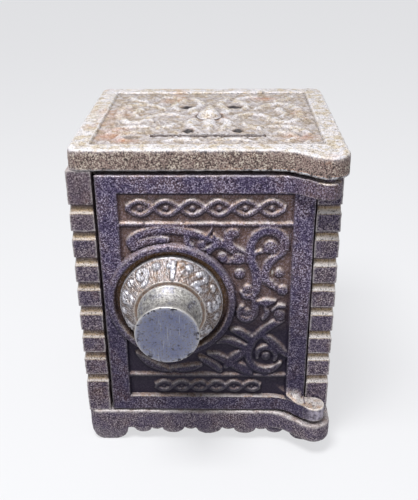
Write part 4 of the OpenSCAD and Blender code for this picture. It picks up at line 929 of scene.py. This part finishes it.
rim_r, cone_r, foot_r = 12.7, 8.7, 7.85
rim_y, shoulder_y, dial_back = -29.0, -33.5, -27.2
figures = [                                    # strokes of 1 to 9, each in a field 1 high
    [[(0.14, 0.76), (0.34, 0.96)], [(0.34, 0.97), (0.34, 0.03)]],
    [[(0.07, 0.74), (0.2, 0.95), (0.44, 0.94), (0.54, 0.74), (0.42, 0.5), (0.07, 0.05)], [(0.07, 0.05), (0.57, 0.05)]],
    [[(0.08, 0.9), (0.32, 0.97), (0.52, 0.8), (0.48, 0.6), (0.26, 0.53)],
     [(0.26, 0.53), (0.52, 0.44), (0.54, 0.2), (0.32, 0.03), (0.07, 0.12)]],
    [[(0.44, 0.03), (0.44, 0.97)], [(0.44, 0.97), (0.05, 0.32)], [(0.05, 0.32), (0.6, 0.32)]],
    [[(0.53, 0.95), (0.14, 0.95)], [(0.14, 0.95), (0.1, 0.55)],
     [(0.1, 0.55), (0.36, 0.62), (0.56, 0.4), (0.48, 0.12), (0.26, 0.03), (0.06, 0.12)]],
    [[(0.5, 0.94), (0.24, 0.84), (0.08, 0.5), (0.1, 0.16), (0.32, 0.03), (0.54, 0.18), (0.52, 0.44), (0.3, 0.55),
      (0.1, 0.38)]],
    [[(0.06, 0.95), (0.56, 0.95)], [(0.56, 0.95), (0.34, 0.5), (0.24, 0.03)]],
    [[(0.31, 0.54), (0.11, 0.68), (0.13, 0.9), (0.31, 0.97), (0.49, 0.9), (0.51, 0.68), (0.31, 0.54), (0.08, 0.36),
      (0.09, 0.12), (0.31, 0.03), (0.53, 0.12), (0.54, 0.36), (0.31, 0.54)]],
    [[(0.12, 0.06), (0.38, 0.16), (0.54, 0.5), (0.52, 0.84), (0.3, 0.97), (0.08, 0.82), (0.1, 0.56), (0.32, 0.45),
      (0.52, 0.62)]],
]
first_figure, figure_half, stroke_half = 4.0, 0.31, 0.68             # degrees, share of the width, millimetres


def dial_casting():
    """A turned profile whose cone carries the numbers 1 to 9 in relief, with a bead between each two. Each figure's
    strokes are bands on the unrolled cone: u runs clockwise along the arc and v outwards along the slope, both in
    millimetres."""
    count = 900
    a = np.linspace(0, 2 * np.pi, count, endpoint=False)
    slope = np.linspace(0, 1, 50)
    cone_y = shoulder_y + 0.18 + (rim_y - 0.1 - shoulder_y) * slope
    cone = np.column_stack([cone_r + (rim_r - 0.25 - cone_r) * slope, cone_y])
    profile = np.concatenate([
        [(5.0, -33.3), (foot_r + 0.1, -33.32), (foot_r + 0.25, -33.3), (foot_r + 0.55, -33.3), (cone_r - 0.12, -33.36)],
        cone,
        [(rim_r - 0.1, -28.86), (rim_r, -28.6), (rim_r, -27.4), (rim_r - 0.15, dial_back), (5.0, dial_back)],
    ])
    groove, on_cone = slice(1, 5), slice(5, 5 + len(slope))
    rise, run = rim_r - cone_r, rim_y - shoulder_y
    slant, mean_r = np.hypot(rise, run), (cone_r + rim_r) / 2
    tall, wide, turn = 4.2, 4.6, 2 * np.pi * mean_r
    v, u = np.meshgrid(slope * slant - slant / 2, a * mean_r, indexing="ij")
    relief = np.zeros(v.shape)
    for k, figure in enumerate(figures):
        middle = np.radians(first_figure) * mean_r + turn * k / len(figures)
        figure_u, bead_u = [(u - m + turn / 2) % turn - turn / 2 for m in (middle, middle + turn / len(figures) / 2)]
        strokes = [[((x - figure_half) * wide, (y - 0.5) * tall, stroke_half) for x, y in line] for line in figure]
        relief = np.maximum(relief, bands(figure_u, v, strokes, 0.5))
        relief = np.maximum(relief, domes(bead_u, v, [(0, 1.4, 1)], 0.6))
    flat = np.stack([u * np.cos(a), u * np.sin(a), v], -1).reshape(-1, 3)
    rough, rougher, fade = [ripple(flat, size, seed).reshape(v.shape) for size, seed in ((2.2, 41), (0.9, 42), (3, 43))]
    relief = soften(relief, 3) * np.clip(0.85 + 0.25 * fade, 0.5, 1)
    relief += (0.05 * rough + 0.04 * rougher) * (np.abs(v) < 2.9)
    r, y = [np.repeat(column[:, None], count, 1) for column in profile.T]
    r[on_cone] += relief * run / slant * 0.9
    y[on_cone] -= relief * rise / slant
    rings = np.stack([dial_x + r * np.sin(a), y, dial_z + r * np.cos(a)], -1)
    shade = np.ones(r.shape)
    shade[on_cone] = np.clip(0.3 + relief * 1.9, 0, 1.25)
    shade[groove] = 0.1
    return (*loft(rings), shade.ravel())


def nickel(name, bright, dull, stain, dirt_and_painted_light):
    """Nickel plate on iron, rubbed thin: bright where fingers reach, dulled to a warm grey elsewhere, with the colour
    stain in clouds and in the hollows, painted shade in creases, small dark pits where the plate has gone, and fine
    slanting scratches. stain is brown grime on the dial and a painted blue reflection on the knob. dirt is how full
    the hollows are."""
    noises = {"cloud": (3.2, 5, 0.65), "fine": (0.5, 3, 0.6), "spots": (1.3, 2, 0.5), "line": ((0.2, 1, 5), 1, 0.5)}
    layers = [
        (dull, ("cloud", 0.38, 0.62, 0, 1)),
        (stain, ("cloud", 0.55, 0.7, 0, 0.6)),
        (stain, ("relief", 0.15, 0.6, dirt_and_painted_light, 0), ("fine", 0.3, 0.6, 0.5, 1)),
        # Painted shade in creases
        ("#4a3d35", ("nook", 0, 1, 0, 0.8)),
        ("#3a322f", ("spots", 0.64, 0.7, 0, 0.7)),
        ("#57504c", ("fine", 0.48, 0.36, 0, 0.7)),
        ("#efece8", ("fine", 0.55, 0.68, 0, 1), ("relief", 0, 1, 0.1, 0.6)),
        ("#e8e8ea", ("line", 0.66, 0.7, 0, 0.35)),
        (bright, ("relief", 1, 1.3, 0, 0.5)),
        ("#f4f1ec", ("edge", 0, 1, 0, 0.5)),
        ("#2b2731", ("tint", 0, 1, 0, 1), ("spots", 0.55, 0.6, 0, 1)),
    ]
    values, rough = ("relief", "tint", "nook", "edge"), ("fine", 0.3, 0.7, 0.45, 0.65)
    return metal_finish(name, noises, values, bright, layers, rough, (0.7,), [("fine", 0.4, 0.0001)])


# Cool bright grey with warm grey clouds, and brown dirt round the figures
dial_nickel = nickel("worn_nickel_plate_dial", "#bfc0cd", "#978f93", "#80603f", 0.9)
build("dial_casting", [dial_casting()], dial_nickel, "dial", "dial", 0.03)

# Knob: turned brass under nickel plate, with a waist for the fingers and a flat face. The face is rubbed
# smooth, and its sharp rim is the brightest line on the bank.

waist_r, face_r, face_y = 5.9, 7.5, -43.1
waist_y = (-34.15, -42.0)                      # where the waist begins and ends


def knob_profile():
    """Profile from the foot to the face: a short flange, a waist that is a half sine between the two rims, a lip and a
    face whose edge is broken by a small round."""
    t = np.linspace(0, 1, 28)
    rims = foot_r - 0.3 + (face_r - 0.15 - foot_r + 0.3) * t
    waist = rims - (rims.mean() - waist_r) * np.sin(np.pi * t) ** 0.85
    return np.concatenate([
        [(3.0, -33.3), (foot_r - 0.1, -33.3), (foot_r, -33.45), (foot_r, -33.85), (foot_r - 0.12, -34.05)],
        np.column_stack([waist, waist_y[0] + (waist_y[1] - waist_y[0]) * t]),
        [(face_r - 0.03, -42.25), (face_r, -42.45), (face_r, -42.8), (face_r - 0.06, -42.95), (face_r - 0.2, -43.07),
         (face_r - 0.4, -43.1), (face_r - 0.9, -43.08), (5.4, -43.04), (3.6, -43.02), (1.8, -43.01), (0.4, -43.0)],
    ])


# Warmer and smoother than the dial, with a slight painted blue reflection, strongest on its face
knob_nickel = nickel("worn_nickel_plate_knob", "#b9b7b1", "#918f92", "#6c7396", 0.9)
knob = turned(knob_profile(), dial_x, 0, dial_z, "y", 200)
on_face = knob[0][:, 1] < face_y + 0.12
chipped = np.clip((np.hypot(knob[0][:, 0] - dial_x, knob[0][:, 2] - dial_z) - 6.1) / 1.1, 0, 1) * on_face
knob_shell = (*knob, np.where(on_face, 0.0, 1.0), chipped)
build("knob_turning", [knob_shell], knob_nickel, "dial", "knob", 0.0)

# Lock and small fastenings: pressed steel wheels, brass pins and spacers, and bought nuts and washers. They
# keep their CAD shapes, and only get their finish here.


def plain_metal(name, colour, dark, rough):
    """Bare metal with the fine marks of the tool that made it and a little old grease."""
    noises = {"cloud": (2.5, 5, 0.6), "fine": (0.3, 2, 0.5)}
    layers = [(dark, ("cloud", 0.4, 0.7, 0, 1))]
    marks = ("fine", 0.3, 0.7, rough - 0.08, rough + 0.1)
    return metal_finish(name, noises, (), colour, layers, marks, (0.9,), [("fine", 0.2, 0.00004)])


# Steel is a dull mid grey, and brass a brownish yellow
lock_steel = plain_metal("dulled_pressed_steel", "#96969c", "#5b5654", 0.38)
lock_brass = plain_metal("dull_brass", "#b7985a", "#6f5a36", 0.35)
steel_nodes = ("tie_washer", "tie_nut", "spindle", "spring_washer", "tumbler_1", "tumbler_2", "drive_wheel",
               "spindle_nut")
brass_nodes = ("tumbler_1_pin", "tumbler_2_pin", "drive_pin", "wheel_spacers")
for metal, names in ((lock_steel, steel_nodes), (lock_brass, brass_nodes)):
    for name in names:
        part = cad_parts[name].data
        part.materials.clear()
        part.materials.append(metal)

# Studio: a pale floor, one large soft lamp above and a little in front, and an even pale surround.

floor_mesh = bpy.data.meshes.new("floor")
floor_mesh.from_pydata([(-4, -4, 0), (4, -4, 0), (4, 4, 0), (-4, 4, 0)], [], [(0, 1, 2, 3)])
floor = bpy.data.objects.new("floor", floor_mesh)
bpy.context.scene.collection.objects.link(floor)

# Matt paper that is seen as an even pale grey and lights the bank from below like a greyer one
paper = bpy.data.materials.new("pale_paper")
paper.use_nodes = True
tree = paper.node_tree
tree.nodes.clear()
rays = node(tree, "ShaderNodeLightPath").outputs
direct = rays["Is Camera Ray"]
for ray in ("Is Glossy Ray", "Is Transmission Ray"):
    direct = node(tree, "ShaderNodeMath", {0: direct, 1: rays[ray]}, operation="ADD", use_clamp=True).outputs[0]
tone = node(tree, "ShaderNodeMix", {0: direct, 6: linear("#8d8d90"), 7: linear("#dcdddf")}, data_type="RGBA").outputs[2]
matt = node(tree, "ShaderNodeBsdfDiffuse", {"Color": tone}).outputs[0]
glow = node(tree, "ShaderNodeEmission", {"Color": linear("#f6f6f8"), "Strength": 1.0}).outputs[0]
share = node(tree, "ShaderNodeMath", {0: direct, 1: 0.7}, operation="MULTIPLY").outputs[0]
lit = node(tree, "ShaderNodeMixShader", {0: share, 1: matt, 2: glow}).outputs[0]
tree.links.new(lit, node(tree, "ShaderNodeOutputMaterial").inputs[0])
floor_mesh.materials.append(paper)

world = bpy.data.worlds.new("surround")
bpy.context.scene.world = world
world.use_nodes = True
tree = world.node_tree
tree.nodes.clear()
seen = node(tree, "ShaderNodeLightPath").outputs["Is Camera Ray"]
strength = node(tree, "ShaderNodeMapRange", {0: seen, 1: 0.0, 2: 1.0, 3: 0.6, 4: 1.0}).outputs[0]
sky = node(tree, "ShaderNodeBackground", {"Color": linear("#dfe1e6"), "Strength": strength})
tree.links.new(sky.outputs[0], node(tree, "ShaderNodeOutputWorld").inputs[0])


def lamp(name, position, target, size, power):
    """A square area lamp at position, in metres, turned to face target."""
    light = bpy.data.lights.new(name, "AREA")
    light.shape, light.size, light.energy = "SQUARE", size, power
    holder = bpy.data.objects.new(name, light)
    z = np.array(position, float) - target
    z /= np.linalg.norm(z)
    x = np.cross([0.0, 1.0, 0.01], z)
    x /= np.linalg.norm(x)
    holder.matrix_world = Matrix(np.vstack([np.column_stack([x, np.cross(z, x), z, position]), [0, 0, 0, 1]]).tolist())
    bpy.context.scene.collection.objects.link(holder)


lamp("key", (-0.07, -0.13, 0.4), (0, -0.01, 0.06), 0.13, 1.8)
lamp("fill", (0.5, -0.8, 0.3), (0, 0, 0.04), 0.6, 0.4)

# Camera: at the photograph's angle, from above and in front, for an image of 418 by 500 pixels.

pitch, yaw, roll = np.radians([26.41, -1.48, -0.57])
forward = np.array([np.sin(yaw) * np.cos(pitch), np.cos(yaw) * np.cos(pitch), -np.sin(pitch)])
level = np.array([np.cos(yaw), -np.sin(yaw), 0])
upright = np.cross(level, forward)
camera_x = level * np.cos(roll) + upright * np.sin(roll)
camera_y = upright * np.cos(roll) - level * np.sin(roll)
image_height, focal_pixels, sensor = 500, 707.87, 36
lens_data = bpy.data.cameras.new("camera")
lens_data.sensor_width, lens_data.lens = sensor, sensor * focal_pixels / image_height
lens_data.clip_start, lens_data.clip_end = 0.01, 20
camera = bpy.data.objects.new("camera", lens_data)
camera_at = np.array([4.78, -178.69, 132.4]) / 1000
placed = np.column_stack([camera_x, camera_y, -forward, camera_at])
camera.matrix_world = Matrix(np.vstack([placed, [0, 0, 0, 1]]).tolist())
bpy.context.scene.collection.objects.link(camera)
bpy.context.scene.camera = camera
bpy.context.scene.view_settings.view_transform = "Standard"
